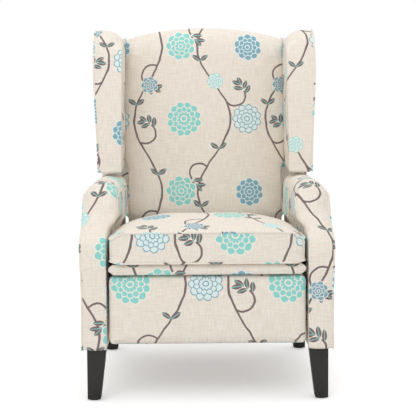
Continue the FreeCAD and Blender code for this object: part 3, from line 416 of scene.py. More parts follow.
# Zinc plating is bright but cloudy
ZINC_STEEL = toned("zinc_plated_steel", "#8F9497", "#B9BCBD", (240, 240, 240), 0.36, 1.0)
# Jute straps are coarse enough for their yarns to show
JUTE_WEBBING = toned("woven_jute_webbing", "#7E6440", "#B3986B", (500, 500, 500), 0.85,
                     kind="ShaderNodeTexVoronoi", lift=0.0008)
# Moulded nylon is even, with a soft sheen
DARK_NYLON = toned("moulded_dark_nylon", "#3C3733", "#4A4541", (90, 90, 90), 0.48)
# The slots of the record, and what each is made of
FINISHES = {
    "printed_fabric": PRINTED_LINEN, "black_wood": BLACK_SATIN_WOOD, "frame_wood": FRAME_WOOD,
    "black_steel": BLACK_STEEL, "zinc_steel": ZINC_STEEL, "webbing": JUTE_WEBBING, "nylon": DARK_NYLON,
}
print(len(FINISHES), "finishes in all")

# %% [markdown]
# A sewn cover is made of flat pieces of cloth. Each keeps its own layout of the print, so every face gets UV
# coordinates in metres on its own piece of cloth, and a print drawn on them has its real size everywhere.

# %% From a bmesh to a piece
def finish_piece(shape, name, body, replaced=(), slot="printed_fabric", cut_at=(0, 0)):
    """Turn a bmesh in metres into a smooth piece that rides on a body.

    cut_at is where its cloth was cut from the printed roll."""
    roll = shape.loops.layers.uv.get("cloth")
    if roll:
        for face in shape.faces:
            for loop in face.loops:
                loop[roll].uv += Vector(cut_at)
    mesh = bpy.data.meshes.new(name)
    shape.normal_update()
    shape.to_mesh(mesh)
    shape.free()
    for polygon in mesh.polygons:
        polygon.use_smooth = True
    mesh.materials.append(FINISHES[slot])
    piece = bpy.data.objects.new(name, mesh)
    scene.collection.objects.link(piece)
    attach(piece, body)
    if replaced:
        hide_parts(*replaced)
    print(f"{name}: {len(mesh.polygons)} faces")
    return piece


# %% [markdown]
# A welt is a cord sewn into a seam inside a strip of the same cloth. It is a round tube along the seam, a
# little sunk in it. Its strip is cut at a slant, so the print crosses it in short dark dashes.

# %% Welts
WELT_RADIUS = 2.8
WELT_SUNK = 1.0
# How much of a point's depth is added to each of the strip's two UV directions, and where the strip was cut
STRIP_SLANT = (0.6, 0.5)
STRIP_CUT_AT = 0.17


def welt(points, name, body, closed=False):
    """A tube of cloth along points in metres."""
    data = bpy.data.curves.new(name, "CURVE")
    data.dimensions = "3D"
    data.bevel_depth = WELT_RADIUS * MM
    data.bevel_resolution = 2
    data.use_fill_caps = not closed
    spline = data.splines.new("POLY")
    spline.points.add(len(points) - 1)
    for knot, point in zip(spline.points, points):
        knot.co = (*point, 1)
    spline.use_cyclic_u = closed
    drawn = bpy.data.objects.new(name, data)
    scene.collection.objects.link(drawn)
    tube = bmesh.new()
    tube.from_mesh(drawn.to_mesh())
    drawn.to_mesh_clear()
    bpy.data.objects.remove(drawn)
    bmesh.ops.remove_doubles(tube, verts=tube.verts, dist=0.01 * MM)
    bmesh.ops.recalc_face_normals(tube, faces=tube.faces)
    for layer in list(tube.loops.layers.uv.values()):
        tube.loops.layers.uv.remove(layer)
    roll = tube.loops.layers.uv.new("cloth")
    for face in tube.faces:
        for loop in face.loops:
            x, depth, height = loop.vert.co
            loop[roll].uv = (x + depth * STRIP_SLANT[0] + STRIP_CUT_AT, height + depth * STRIP_SLANT[1])
    return finish_piece(tube, name, body)


# %% [markdown]
# An outline is drawn through a few stops, as a pattern maker draws through chalk marks: smoothly, but with a
# sharp corner wherever a stop is given twice.

# %% Outlines
OUTLINE_STEP = 8.0
SAME_PLACE = 0.01


def smooth_line(stops):
    """Points every few mm along a smooth closed line through stops. A stop given twice is a sharp corner."""
    count = len(stops)
    line = []
    for index in range(count):
        before, here, there, after = (Vector(stops[(index + shift) % count]) for shift in (-1, 0, 1, 2))
        length = (there - here).length
        if length < SAME_PLACE:
            continue
        cuts = max(1, round(length / OUTLINE_STEP))
        way_in = there - before if (here - before).length > SAME_PLACE else there - here
        way_out = after - here if (after - there).length > SAME_PLACE else there - here
        start_pull = way_in.normalized() * length
        end_pull = way_out.normalized() * length
        for cut in range(cuts):
            t = cut / cuts
            line.append(here * (2 * t**3 - 3 * t**2 + 1) + start_pull * (t**3 - 2 * t**2 + t)
                        + there * (3 * t**2 - 2 * t**3) + end_pull * (t**3 - t**2))
    return line


def outward_normals(line):
    """The outward direction at each point of a closed line that runs clockwise as (depth, height)."""
    normals = []
    for index, point in enumerate(line):
        run = line[(index + 1) % len(line)] - line[index - 1]
        normals.append(Vector((-run.y, run.x)).normalized())
    return normals


# %% [markdown]
# An arm or a wing is a flat panel of padding with a band of cloth that runs round its edge, sewn to the cloth
# of its two faces. So the mesh starts as the edge line in side view. Each extrusion carries the line a
# little further across the band, drawn in by the crown of the padding.

# %% The band round a panel's edge
FACE = bmesh.types.BMFace
# Where the band's rings of points lie, as shares of the way across it
BAND_SHARES = (0, 0.02, 0.06, 0.12, 0.2, 0.32, 0.46, 0.6, 0.72, 0.83, 0.91, 0.96, 0.985, 1)


def band_mesh(ring_at):
    """A band with a ring of points at each share of its width, and the edges of its two rims."""
    shape = bmesh.new()
    stop_layer = shape.verts.layers.int.new("stop")
    band_layer = shape.faces.layers.int.new("band")
    ring = [shape.verts.new(point) for point in ring_at(BAND_SHARES[0])]
    for stop, vertex in enumerate(ring):
        vertex[stop_layer] = stop
    edges = [shape.edges.new((ring[stop - 1], ring[stop])) for stop in range(len(ring))]
    rims = [edges]
    for share in BAND_SHARES[1:]:
        points = ring_at(share)
        made = bmesh.ops.extrude_edge_only(shape, edges=edges)["geom"]
        ring = {item for item in made if isinstance(item, bmesh.types.BMVert)}
        edges = [item for item in made if isinstance(item, bmesh.types.BMEdge) and set(item.verts) <= ring]
        for vertex in ring:
            vertex.co = points[vertex[stop_layer]]
    for face in shape.faces:
        face[band_layer] = 1
    rims.append(edges)
    return shape, rims


# %% [markdown]
# Each face of the panel is one large polygon at first. It is cut into a grid, so that it can swell away from
# its seams.

# %% The two faces of a panel
GRID_START = 10
GRID_STEP = 16
PANEL_SWELL = 3.0
SWELL_REACH = 70


def cut_faces(shape, faces, axis, place):
    """Cut faces along a plane across an axis, and give the faces that come of it."""
    around = dict.fromkeys(item for face in faces for item in (face, *face.edges, *face.verts))
    across = Vector((0, 0, 0))
    across[axis] = 1
    cut = bmesh.ops.bisect_plane(shape, geom=list(around), plane_co=across * place, plane_no=across)
    return [item for item in cut["geom"] if isinstance(item, FACE)]


def fill_rim(shape, rim, line, side_at, way):
    """Close one side of the band with a grid of faces that swells between its seams."""
    band_layer = shape.faces.layers.int["band"]
    filled = bmesh.ops.triangle_fill(shape, edges=rim, use_beauty=True)["geom"]
    panel = [item for item in filled if isinstance(item, FACE)]
    for axis in (1, 2):
        places = [point[axis - 1] for point in line]
        cut = min(places) + GRID_START
        while cut < max(places):
            panel = cut_faces(shape, panel, axis, cut)
            cut += GRID_STEP
    on_seam = {vertex for face in panel for edge in face.edges for vertex in edge.verts
               if any(other[band_layer] for other in edge.link_faces)}
    for vertex in {vertex for face in panel for vertex in face.verts} - on_seam:
        _, depth, height = vertex.co
        near = min((Vector((depth, height)) - point).length for point in line)
        vertex.co.x = side_at(depth, height) + way * PANEL_SWELL * ease(0, SWELL_REACH, near)


# %% [markdown]
# The cloth is laid out like the real pieces: the two faces flat, and the band unrolled along its run.

# %% A whole panel
def lay_out_panel(shape, run):
    """UVs in metres. run is how far along the edge line each of its points lies, in mm."""
    stop_layer = shape.verts.layers.int["stop"]
    band_layer = shape.faces.layers.int["band"]
    uv_layer = shape.loops.layers.uv.new("cloth")
    for face in shape.faces:
        if not face[band_layer]:
            for loop in face.loops:
                loop[uv_layer].uv = (loop.vert.co.y * MM, loop.vert.co.z * MM)
            continue
        runs = [run[loop.vert[stop_layer]] for loop in face.loops]
        joins_ends = min(runs) < run[-1] * 0.1 and max(runs) > run[-1] * 0.9
        for loop, along in zip(face.loops, runs):
            if joins_ends and along < run[-1] * 0.1:
                along += run[-1]
            loop[uv_layer].uv = (loop.vert.co.x * MM, along * MM)


def banded_panel(stops, crown, inner_side, outer_side, place):
    """A padded panel in metres, with UVs, and the lines of its inner and outer seams in metres.

    crown(share, depth, height) is how far the band is drawn in from the edge line, in mm."""
    line = smooth_line(stops)
    normals = outward_normals(line)
    run = [0.0]
    for first, second in zip(line, line[1:]):
        run.append(run[-1] + (second - first).length)

    def ring_at(share):
        points = []
        for on_line, normal in zip(line, normals):
            flat = on_line - normal * crown(share, on_line.x, on_line.y)
            side = inner_side(flat.x, flat.y) * (1 - share) + outer_side(flat.x, flat.y) * share
            points.append((side, flat.x, flat.y))
        return points

    shape, (inner_rim, outer_rim) = band_mesh(ring_at)
    fill_rim(shape, inner_rim, line, inner_side, -1)
    fill_rim(shape, outer_rim, line, outer_side, 1)
    bmesh.ops.recalc_face_normals(shape, faces=shape.faces)
    lay_out_panel(shape, run)
    for vertex in shape.verts:
        vertex.co = place(*vertex.co)
    seams = []
    for share, way in ((0, 1), (1, -1)):
        seams.append([place(x + way * WELT_SUNK, first, second) for x, first, second in ring_at(share)])
    return shape, seams


# %% [markdown]
# Both sides of the chair are made alike, mirrored, and a mirror turns faces inside out, so they are turned
# back. The print is not mirrored on a real chair, so the left side reads another place of the cloth.

# %% Left and right
def other_side(shape):
    """The same shape on the other side of the chair."""
    twin = shape.copy()
    bmesh.ops.scale(twin, vec=(-1, 1, 1), verts=twin.verts)
    bmesh.ops.reverse_faces(twin, faces=twin.faces)
    return twin


def finish_pair(shape, name, body, replaced, cuts=((0, 0), (0, 0))):
    """Finish a shape as the right piece of that name, and its mirror image as the left one."""
    for side, twin, cut_at in (("right", shape, cuts[0]), ("left", other_side(shape), cuts[1])):
        stands_for = [f"{replaced}_{side}"] if replaced else ()
        finish_piece(twin, f"{name}_{side}", body, stands_for, cut_at=cut_at)


def welt_pair(points, name, body, closed=False):
    """A welt on the right of the chair, and its mirror image on the left."""
    welt(points, f"{name}_right", body, closed)
    welt([Vector((-point.x, point.y, point.z)) for point in points], f"{name}_left", body, closed)


# %% [markdown]
# The arm: its front is plumb, then scoops back and up to the top, and the band rolls over like a waterfall.
# The padding crowns more on the top than down the front.

# %% The arms
# The edge in side view, as depths and heights
ARM_EDGE = [
    (0, 137), (0, 137), (0, 215), (0, 300), (0, 362), (4, 398), (17, 427), (42, 448), (72, 468),
    (98, 496), (117, 528), (140, 556), (170, 571), (210, 575), (330, 575), (460, 575), (570, 575),
    (614, 564), (637, 530), (640, 490), (640, 370), (640, 250), (640, 137), (640, 137), (500, 137),
    (350, 137), (180, 137),
]
ARM_INNER = 269
ARM_OUTER = 335
ARM_FLARE = 9
FLARE_HEIGHTS = (305, 537)
# The roll's overhang, how much less it is beside the back, and how far it sinks beside the seat
ROLL_OVERHANG = 22
BACK_ROOM = 3
ROLL_DROP = 26
ROLL_HEIGHTS = (446, 480)
BESIDE_SEAT = (250, 430)
BESIDE_BACK = (525, 550)
LINING = 12
LINING_DEPTHS = (604, 612)
LINING_HEIGHTS = (372, 380)
# Above this height the roll stands clear of the cushion, so its inner seam has room for a welt
CLEAR_OF_SEAT = 484


def arm_inner(depth, height):
    """The roll overhangs the seat, lowest beside the seat's rear, and the rear edge is lined inwards.

    Both stay clear of the back's brackets and bolts, which pass when the seat slides forward."""
    beside_back = ease(*BESIDE_BACK, depth)
    drop = ROLL_DROP * ease(*BESIDE_SEAT, depth) * (1 - beside_back)
    overhang = ROLL_OVERHANG - BACK_ROOM * beside_back
    roll = ARM_INNER - overhang * ease(*ROLL_HEIGHTS, height + drop)
    rear_lining = ARM_INNER - LINING * ease(*LINING_DEPTHS, depth) * ease(*LINING_HEIGHTS, height)
    return min(roll, rear_lining)


def arm_outer(depth, height):
    """The arm's outer face, straight below and leaning out a little above."""
    low, high = FLARE_HEIGHTS
    return ARM_OUTER + ARM_FLARE * min(max((height - low) / (high - low), 0), 1)


def arm_crown(share, depth, height):
    """How far the band is drawn in: a full roll on top, nearly flat down the front and underneath."""
    on_top = ease(400, 560, height)
    peak = 0.55
    if share < peak:
        slope = 1 - math.sqrt(max(0, 1 - ((peak - share) / peak) ** 2.4))
        fall = 4 + 30 * on_top
    else:
        slope = ((share - peak) / (1 - peak)) ** 2
        fall = 2.5 + 35 * on_top
    return fall * slope


arm_shape, (arm_inner_seam, arm_outer_seam) = banded_panel(ARM_EDGE, arm_crown, arm_inner, arm_outer, in_room)
finish_pair(arm_shape, "arm", "base", "arm_cover", ((0.11, 0.07), (0.27, 0.31)))
welt_pair(arm_outer_seam, "arm_outer_welt", "base", closed=True)
welt_pair([point for point in arm_inner_seam if point.z > CLEAR_OF_SEAT * MM], "arm_inner_welt", "base")

# %% [markdown]
# The wing: a padded panel that stands beside the back and moves with it.

# %% The wings
# The edge in side view, as places behind the hinge and up the back
WING_EDGE = [
    (-172, 227), (-172, 227), (-171, 320), (-167, 430), (-160, 530), (-149, 606), (-132, 655), (-106, 684),
    (-70, 697), (0, 704), (105, 716), (105, 716), (105, 600), (105, 470), (105, 345), (105, 345), (60, 318),
    (-7, 273), (-90, 249),
]
WING_INNER = 256
WING_OUTER = 327
WING_FLARE = 17
WING_FALL = 3
WING_TOP_FALL = 42
WING_PEAK = 0.7


def wing_inner(behind, up):
    """The wing's inner face is flat."""
    return WING_INNER


def wing_outer(behind, up):
    """The outer face leans out towards the top."""
    return WING_OUTER + WING_FLARE * ease(227, 600, up)


def wing_crown(share, behind, up):
    """How far the band is drawn in: most at its inner seam on top."""
    inner_fall = WING_FALL + WING_TOP_FALL * ease(600, 690, up)
    outer_fall = 2 + 4 * (1 - ease(227, 262, up))
    to_inner = max(0, WING_PEAK - share) / WING_PEAK
    to_outer = max(0, share - WING_PEAK) / (1 - WING_PEAK)
    return inner_fall * (1 - math.sqrt(max(0, 1 - to_inner ** 2))) + outer_fall * to_outer ** 2


wing_shape, (_, wing_outer_seam) = banded_panel(WING_EDGE, wing_crown, wing_inner, wing_outer, on_back)
finish_pair(wing_shape, "wing", "back", "wing_cover", ((0.34, 0.15), (0.06, 0.22)))
welt_pair(wing_outer_seam, "wing_outer_welt", "back", closed=True)

# %% [markdown]
# Cushions and pads start as a box of quads. Its lines lie closer near the edges, where a cushion turns.

# %% A box of quads
# How far the lines are drawn to the edges: 0 leaves them evenly spaced
GATHER = 0.5
# The two axes that a side's cloth is laid out along, for sides that face across, along and up
CLOTH_AXES = ((1, 2), (0, 2), (0, 1))


def quad_box(counts):
    """A unit box of quads, with each face marked by the axis that it faces along."""
    shape = bmesh.new()
    bmesh.ops.create_cube(shape, size=1.0)
    bmesh.ops.translate(shape, verts=shape.verts, vec=(0.5, 0.5, 0.5))
    for axis, count in enumerate(counts):
        along = [edge for edge in shape.edges
                 if abs(edge.verts[0].co[axis] - edge.verts[1].co[axis]) > 0.5]
        bmesh.ops.subdivide_edges(shape, edges=along, cuts=count - 1, use_grid_fill=True)
    facing_layer = shape.faces.layers.int.new("facing")
    shape.normal_update()
    for face in shape.faces:
        face[facing_layer] = max(range(3), key=lambda axis: abs(face.normal[axis]))
    for vertex in shape.verts:
        vertex.co = Vector(c * (1 - GATHER) + GATHER * (0.5 - 0.5 * math.cos(math.pi * c)) for c in vertex.co)
    return shape


def formed_box(counts, point_at):
    """A box of quads with each point moved to its place in metres, and with its cloth laid out."""
    shape = quad_box(counts)
    for vertex in shape.verts:
        vertex.co = point_at(*vertex.co)
    facing_layer = shape.faces.layers.int["facing"]
    uv_layer = shape.loops.layers.uv.new("cloth")
    for face in shape.faces:
        first, second = CLOTH_AXES[face[facing_layer]]
        for loop in face.loops:
            loop[uv_layer].uv = (loop.vert.co[first], loop.vert.co[second])
    return shape


# %% [markdown]
# Foam pushes a sewn cover out until its cloth is tight, and the welted seams hold it back. The cloth solver
# can do just that: the seams are pinned, a light pressure fills the rest, and gravity is off because the foam
# carries the cloth. The solved shape is kept as plain mesh, and no point may move further than a cushion
# gives.

# %% Filling a cushion
SOLVER_FRAMES = 20
CLOTH_SETTINGS = {
    "quality": 6, "mass": 0.35, "tension_stiffness": 18, "compression_stiffness": 18,
    "bending_stiffness": 1.5, "use_pressure": True, "uniform_pressure_force": 4.0,
}


def fill_out(piece, held, most):
    """Let the cloth solver swell a piece between its held points, by at most this many mm."""
    mesh = piece.data
    before = [vertex.co.copy() for vertex in mesh.vertices]
    seam = piece.vertex_groups.new(name="seam")
    pinned = [index for index, point in enumerate(before) if held(point)]
    seam.add(pinned, 1.0, "REPLACE")
    solver = piece.modifiers.new("filling", "CLOTH")
    for setting, value in CLOTH_SETTINGS.items():
        setattr(solver.settings, setting, value)
    solver.settings.vertex_group_mass = "seam"
    solver.settings.effector_weights.gravity = 0
    solver.collision_settings.use_collision = False
    solver.point_cache.frame_start = 1
    solver.point_cache.frame_end = SOLVER_FRAMES
    for moment in range(1, SOLVER_FRAMES + 1):
        scene.frame_set(moment)
    solved = piece.evaluated_get(bpy.context.evaluated_depsgraph_get()).to_mesh()
    after = [vertex.co.copy() for vertex in solved.vertices]
    piece.modifiers.remove(solver)
    piece.vertex_groups.remove(seam)
    scene.frame_set(1)
    furthest = 0.0
    for vertex, start, end in zip(mesh.vertices, before, after):
        move = end - start
        if move.length > most * MM:
            move = move.normalized() * most * MM
        furthest = max(furthest, move.length)
        vertex.co = start + move
    print(f"{piece.name} filled out by up to {furthest / MM:.1f} mm")


# %% [markdown]
# The seat cushion: two crowned panels and a boxing strip between them. It is highest a third of the way back,
# where the foam is least squeezed, and its front corners are rounded.

# %% The seat cushion
SEAT_HALF = 260
SEAT_FRONT = -12
SEAT_REAR = 512
SEAT_LOW = 369
SEAT_SIDE_TOP = 450
SEAT_CROWN = 24
SEAT_CORNER = 30
SEAT_SIDE_FALL = 16
SEAT_REAR_FALL = 27
SEAM_ROOM = 4


def seat_point(a, b, c):
    """A point of the cushion, from shares across, back and up it."""
    across = 2 * a - 1
    x = across * SEAT_HALF
    depth = SEAT_FRONT + b * (SEAT_REAR - SEAT_FRONT)
    from_side = (1 - abs(across)) * SEAT_HALF
    side_fall = SEAT_SIDE_FALL * (1 - ease(0, 46, from_side)) ** 1.6
    rear_fall = SEAT_REAR_FALL * ease(0.35, 1, b)
    swell = SEAT_CROWN * (1 - across ** 4) * ease(-0.06, 0.3, b)
    top = SEAT_SIDE_TOP - side_fall - rear_fall + swell
    low = SEAT_LOW + 4 * (1 - ease(0, 30, from_side))
    height = low + c * (top - low)
    if depth < SEAT_FRONT + SEAT_CORNER and from_side < SEAT_CORNER:
        reach = Vector((SEAT_CORNER - from_side, SEAT_FRONT + SEAT_CORNER - depth))
        reach *= max(reach) / reach.length
        x = math.copysign(SEAT_HALF - SEAT_CORNER + reach.x, across)
        depth = SEAT_FRONT + SEAT_CORNER - reach.y
    return in_room(x, depth, height)


def seat_edge(c, rise=0.0):
    """The cushion's front and side seam, from its left rear corner round the front to its right one."""
    left = [seat_point(0, 1 - step / 30, c) for step in range(30)]
    front = [seat_point(step / 60, 0, c) for step in range(61)]
    right = [seat_point(1, step / 30, c) for step in range(1, 31)]
    return [point + Vector((0, 0, rise * MM)) for point in left + front + right]


seat_seams = seat_edge(1) + seat_edge(0)


def held_seat(point):
    """The cushion is held at its seams, and where it lies on the seat frame."""
    on_frame = point.z < (SEAT_LOW + 3) * MM
    return on_frame or any((point - seam).length < SEAM_ROOM * MM for seam in seat_seams)


seat_cushion = finish_piece(formed_box((44, 40, 8), seat_point), "seat_cushion_cover", "seat",
                            ["seat_cushion"], cut_at=(0.02, 0.13))
fill_out(seat_cushion, held_seat, 9)
welt(seat_edge(1, -1), "seat_top_welt", "seat")
welt(seat_edge(0, 1), "seat_low_welt", "seat")

# %% [markdown]
# The band under the cushion covers the front of the seat frame, and the footrest pad hangs below it.

# %% The front band and the footrest pad
PANEL_HALF = 262
BAND_LOW = 338
BAND_TALL = 28
BAND_FRONT = -5
BAND_DEEP = 63
PAD_LOW = 150
PAD_HIGH = 335
PAD_CORNER = 16
PAD_DEEP = 38
PAD_EDGE = 14


def band_point(a, b, c):
    """A point of the band, bulging a little at mid height and rounded at its ends."""
    across = 2 * a - 1
    to_end = (1 - abs(across)) * PANEL_HALF
    from_middle = 2 * c - 1
    round_off = 9 * (1 - ease(0, 12, to_end))
    height = BAND_LOW + c * BAND_TALL - round_off * from_middle
    front = 6 * from_middle ** 2 + 5 * (1 - ease(0, 14, to_end))
    return in_room(across * PANEL_HALF, BAND_FRONT + b * BAND_DEEP + (1 - b) * front, height)


def pad_point(a, b, c):
    """The footrest pad: a box with rounded corners in front view and a softly rounded front edge."""
    x = (2 * a - 1) * PANEL_HALF
    height = PAD_LOW + c * (PAD_HIGH - PAD_LOW)
    core_x = min(max(x, PAD_CORNER - PANEL_HALF), PANEL_HALF - PAD_CORNER)
    core_z = min(max(height, PAD_LOW + PAD_CORNER), PAD_HIGH - PAD_CORNER)
    out = Vector((x - core_x, height - core_z))
    if out.length > PAD_CORNER:
        out = out.normalized() * PAD_CORNER
    x = core_x + out.x
    height = core_z + out.y
    to_edge = min(PANEL_HALF - abs(x), height - PAD_LOW, PAD_HIGH - height)
    front = 9 * (1 - math.sqrt(max(0, 1 - (1 - min(1, to_edge / PAD_EDGE)) ** 2)))
    depth = b * PAD_DEEP + (1 - b) * (front + 2 * (1 - ease(0, 90, to_edge)))
    return in_room(x, depth, height)


finish_piece(formed_box((44, 6, 6), band_point), "front_band_cover", "seat", ["seat_front_band"],
             cut_at=(0.21, 0.04))
footrest_pad = finish_piece(formed_box((44, 6, 24), pad_point), "footrest_cover", "footrest",
                            ["footrest_pad"], cut_at=(0.3, 0.26))
pad_held_behind = in_room(0, 16, 0).y
fill_out(footrest_pad, lambda point: point.y > pad_held_behind, 3)

# %% [markdown]
# The inside back is one crowned pad whose top rolls over to the outside back.

# %% The inside back
BACK_HALF = 254
BACK_LOW_HALF = 243
BACK_LOW = 60
BACK_REAR = 58
BACK_FACE = -54
BACK_CROWN = 20
TOP_DROP = 33
TOP_ROLL = (78, 70)
LOW_ROLL = (60, 26)
BACK_HELD_BEHIND = 20


def back_top(x):
    """How far up the back its top edge lies: an arch, lowest at the sides."""
    return BACK_TOP - TOP_DROP * (abs(x) / BACK_HALF) ** 2.2


def back_point(a, b, c):
    """A point of the inside back, from shares across, behind and up it."""
    across = 2 * a - 1
    up = BACK_LOW + c * (back_top(across * BACK_HALF) - BACK_LOW)
    half = BACK_LOW_HALF + (BACK_HALF - BACK_LOW_HALF) * ease(262, 288, up)
    x = across * half
    tall, deep = TOP_ROLL
    from_top = min(1, (back_top(x) - up) / tall)
    top_roll = deep * (1 - math.sqrt(max(0, 1 - (1 - from_top) ** 2)))
    tall, deep = LOW_ROLL
    low_roll = deep * (1 - ease(0, tall, up - BACK_LOW))
    side_roll = 8 * (1 - ease(0, 20, half - abs(x)))
    face = BACK_FACE + BACK_CROWN * across ** 2 + top_roll + low_roll + side_roll
    return on_back(x, face + b * (BACK_REAR - face), up)


held_plane = on_back(0, BACK_HELD_BEHIND, 0)
leaning = (on_back(0, 1, 0) - on_back(0, 0, 0)).normalized()


def held_back(point):
    """The inside back is held behind its face, and at its sides, where it has to pass the arms."""
    return (point - held_plane).dot(leaning) > 0 or abs(point.x) > (BACK_LOW_HALF - 6) * MM


inside_back = finish_piece(formed_box((44, 8, 56), back_point), "inside_back", "back", ["back_cushion"],
                           cut_at=(0.16, 0.29))
fill_out(inside_back, held_back, 8)

# %% [markdown]
# The outside back is one flat panel. It is narrow between the arms, which it has to pass, and wide above
# them, where it covers the wings' rears.

# %% The outside back
OUTSIDE_LOW = 20
OUTSIDE_HALF = 246
WIDE_HALF = 338
WIDENS = (218, 230)
WING_REAR_TOP = 711
OUTSIDE_FRONT = 105
OUTSIDE_REAR = 130
# A lip along the rear face, up to where the panel is wide, closes the view between back and arm
LIP = 16
LIP_STARTS = (112, 122)
OVER_RAIL = 46


def outside_point(a, b, c):
    """A point of the outside back. Its top edge is turned forward over the top rail, to the inside back."""
    across = 2 * a - 1
    wide_x = abs(across) * WIDE_HALF
    between_wings = back_top(min(wide_x, BACK_HALF)) - 5
    top = between_wings + (WING_REAR_TOP - between_wings) * ease(250, 262, wide_x)
    up = OUTSIDE_LOW + c * (top - OUTSIDE_LOW)
    wide = ease(*WIDENS, up)
    half = OUTSIDE_HALF + (WIDE_HALF - OUTSIDE_HALF) * wide
    half += 5 * ease(46, 56, up) * (1 - ease(110, 118, up))
    if b > 0.99:
        half += LIP * ease(*LIP_STARTS, up) * (1 - wide)
    x = across * half
    to_edge = min(half - abs(x), top - up, up - OUTSIDE_LOW)
    rear = OUTSIDE_REAR - 6 * (1 - ease(0, 20, to_edge))
    front = OUTSIDE_FRONT - OVER_RAIL * ease(692, 698, up) * (1 - ease(238, 244, abs(x)))
    return on_back(x, front + b * (rear - front), up)


finish_piece(formed_box((60, 3, 60), outside_point), "outside_back_cover", "back", ["outside_back"],
             cut_at=(0.24, 0.18))

# %% [markdown]
# Below the wings the sides of the back are closed by a narrow strip of cloth, tacked over the posts.

# %% The sides of the back
# They lie just outside the posts
STRIP_INNER = 241.2
STRIP_THICK = 1.8
STRIP_LOW = 168
STRIP_TALL = 176


def strip_point(a, b, c):
    """A point of the right strip, which reaches from the inside back to the outside back."""
    near = BACK_REAR + 1
    behind = near + b * (OUTSIDE_FRONT - near)
    return on_back(STRIP_INNER + STRIP_THICK * a, behind, STRIP_LOW + STRIP_TALL * c)


finish_pair(formed_box((2, 8, 16), strip_point), "back_side_strip", "back", None)

# %% [markdown]
# The legs are tapered blocks with softened edges, sprayed black.

# %% The legs
LEG_TOP = 137
LEG_FOOT = 3
LEG_EDGE = 2


def leg(name, top_box, foot_box, replaced):
    """A tapered leg between a box (x, x, depth, depth) at its top and one at its foot."""
    shape = bmesh.new()
    bmesh.ops.create_cube(shape, size=2)
    for vertex in shape.verts:
        x_low, x_high, near, far = top_box if vertex.co.z > 0 else foot_box
        height = LEG_TOP if vertex.co.z > 0 else LEG_FOOT
        vertex.co = in_room(x_high if vertex.co.x > 0 else x_low, far if vertex.co.y > 0 else near, height)
    bmesh.ops.bevel(shape, geom=shape.edges, offset=LEG_EDGE * MM, offset_type="OFFSET", segments=3,
                    profile=0.5, affect="EDGES", material=-1)
    bmesh.ops.recalc_face_normals(shape, faces=shape.faces)
    return finish_piece(shape, name, "base", replaced, "black_wood")


def across_chair(way, near, far):
    """Two sides in mm, in rising order, on the right (1) or the left (-1) of the chair."""
    return (near, far) if way > 0 else (-far, -near)


for side_name, way in (("right", 1), ("left", -1)):
    leg(f"front_leg_{side_name}_tapered", (*across_chair(way, 272, 322), 8, 58),
        (*across_chair(way, 287, 322), 8, 43), [f"front_leg_{side_name}"])
    leg(f"rear_leg_{side_name}_tapered", (*across_chair(way, 278, 322), 592, 636),
        (*across_chair(way, 285, 322), 604, 641), [f"rear_leg_{side_name}"])

# %% [markdown]
# The rest of the frame shows through the gaps, so it gets its own finishes, by the record's slots.

# %% Finishes by slot
slot_of = {entry["node"]: entry["material_slot"] for entry in frame["record"]["subparts"]}
for name, item in frame["nodes"].items():
    item.data.materials.clear()
    item.data.materials.append(FINISHES[slot_of[name]])
print(len(slot_of), "nodes have a slot")

# %% [markdown]
# The photographer stood 2.75 m in front of the arms with the camera at 0.77 m, a hand to the left of the
# middle. The lens is shifted down a little, so that upright edges stay nearly upright, and the camera is
# tilted for the rest. Its horizon lies a quarter of the way down the picture.

# %% The camera
CAMERA_AWAY = 2.75
CAMERA_HEIGHT = 0.767
FOCAL_PIXELS = 1047
FRAME_PIXELS = 416
HORIZON_PIXEL = 112.3
LENS_SHIFT = 0.08
CAMERA_SIDE = -0.03
CAMERA_ROLL = math.radians(0.35)
CAMERA_YAW = math.radians(-0.71)
SENSOR_WIDTH = 36
camera_data = bpy.data.cameras.new("camera")
camera_data.sensor_width = SENSOR_WIDTH
camera_data.lens = SENSOR_WIDTH * FOCAL_PIXELS / FRAME_PIXELS
camera_data.shift_y = -LENS_SHIFT
tilt_pixels = FRAME_PIXELS / 2 - HORIZON_PIXEL - LENS_SHIFT * FRAME_PIXELS
camera_tilt = math.atan(tilt_pixels / FOCAL_PIXELS)
camera = bpy.data.objects.new("camera", camera_data)
camera.location = (CAMERA_SIDE, -CENTRE_DEPTH * MM - CAMERA_AWAY, CAMERA_HEIGHT)
camera.rotation_euler = (math.radians(90) - camera_tilt, CAMERA_ROLL, CAMERA_YAW)
scene.collection.objects.link(camera)
scene.camera = camera

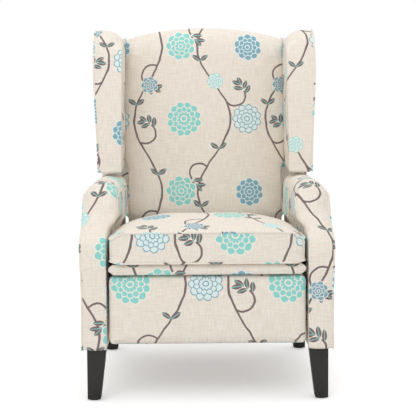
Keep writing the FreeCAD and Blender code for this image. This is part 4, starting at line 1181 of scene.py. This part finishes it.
# %% [markdown]
# A studio floor of pale paper, soft light from above and in front, and a white surround. A product picture is
# exposed so that the paper burns out and only the shadow stays. So the camera alone sees a little extra white
# on the paper, and none of it lights the chair.

# %% The studio
PAPER_BURN = 0.35
SURROUND = 0.82
floor_shape = bmesh.new()
bmesh.ops.create_grid(floor_shape, x_segments=1, y_segments=1, size=6)
floor_mesh = bpy.data.meshes.new("floor")
floor_shape.to_mesh(floor_mesh)
floor_shape.free()
floor = bpy.data.objects.new("floor", floor_mesh)
scene.collection.objects.link(floor)
floor_paper, tree = new_material("floor_paper")
paper = node(tree, "ShaderNodeBsdfPrincipled", Base_Color=linear("#F4F4F4"), Roughness=0.9)
seen = node(tree, "ShaderNodeLightPath")
burn = node(tree, MATH, "MULTIPLY", i0=seen.outputs["Is Camera Ray"], i1=PAPER_BURN)
burnt = node(tree, "ShaderNodeEmission", Color=(1, 1, 1, 1), Strength=burn)
both = node(tree, "ShaderNodeAddShader", i0=paper, i1=burnt)
node(tree, "ShaderNodeOutputMaterial", Surface=both)
floor_mesh.materials.append(floor_paper)

world = bpy.data.worlds.new("studio")
scene.world = world
world.use_nodes = True
tree = world.node_tree
tree.nodes.clear()
soft_box = node(tree, "ShaderNodeBackground", Color=(1, 1, 1, 1), Strength=SURROUND)
white_wall = node(tree, "ShaderNodeBackground", Color=(1, 1, 1, 1), Strength=1.0)
rays = node(tree, "ShaderNodeLightPath")
mix = node(tree, "ShaderNodeMixShader", i0=rays.outputs["Is Camera Ray"], i1=soft_box, i2=white_wall)
node(tree, "ShaderNodeOutputWorld", Surface=mix)


def lamp(name, place, aim, size, watts):
    """A square soft box that faces a point."""
    data = bpy.data.lights.new(name, "AREA")
    data.size = size
    data.energy = watts
    item = bpy.data.objects.new(name, data)
    item.location = place
    item.rotation_euler = (Vector(aim) - Vector(place)).to_track_quat("-Z", "Y").to_euler()
    scene.collection.objects.link(item)


lamp("key_box", (-1.2, -2.6, 2.6), (0, 0, 0.5), 1.8, 22)
lamp("top_box", (0.4, 0.2, 3.0), (0, 0, 0.4), 2.0, 14)
scene.view_settings.view_transform = "Standard"
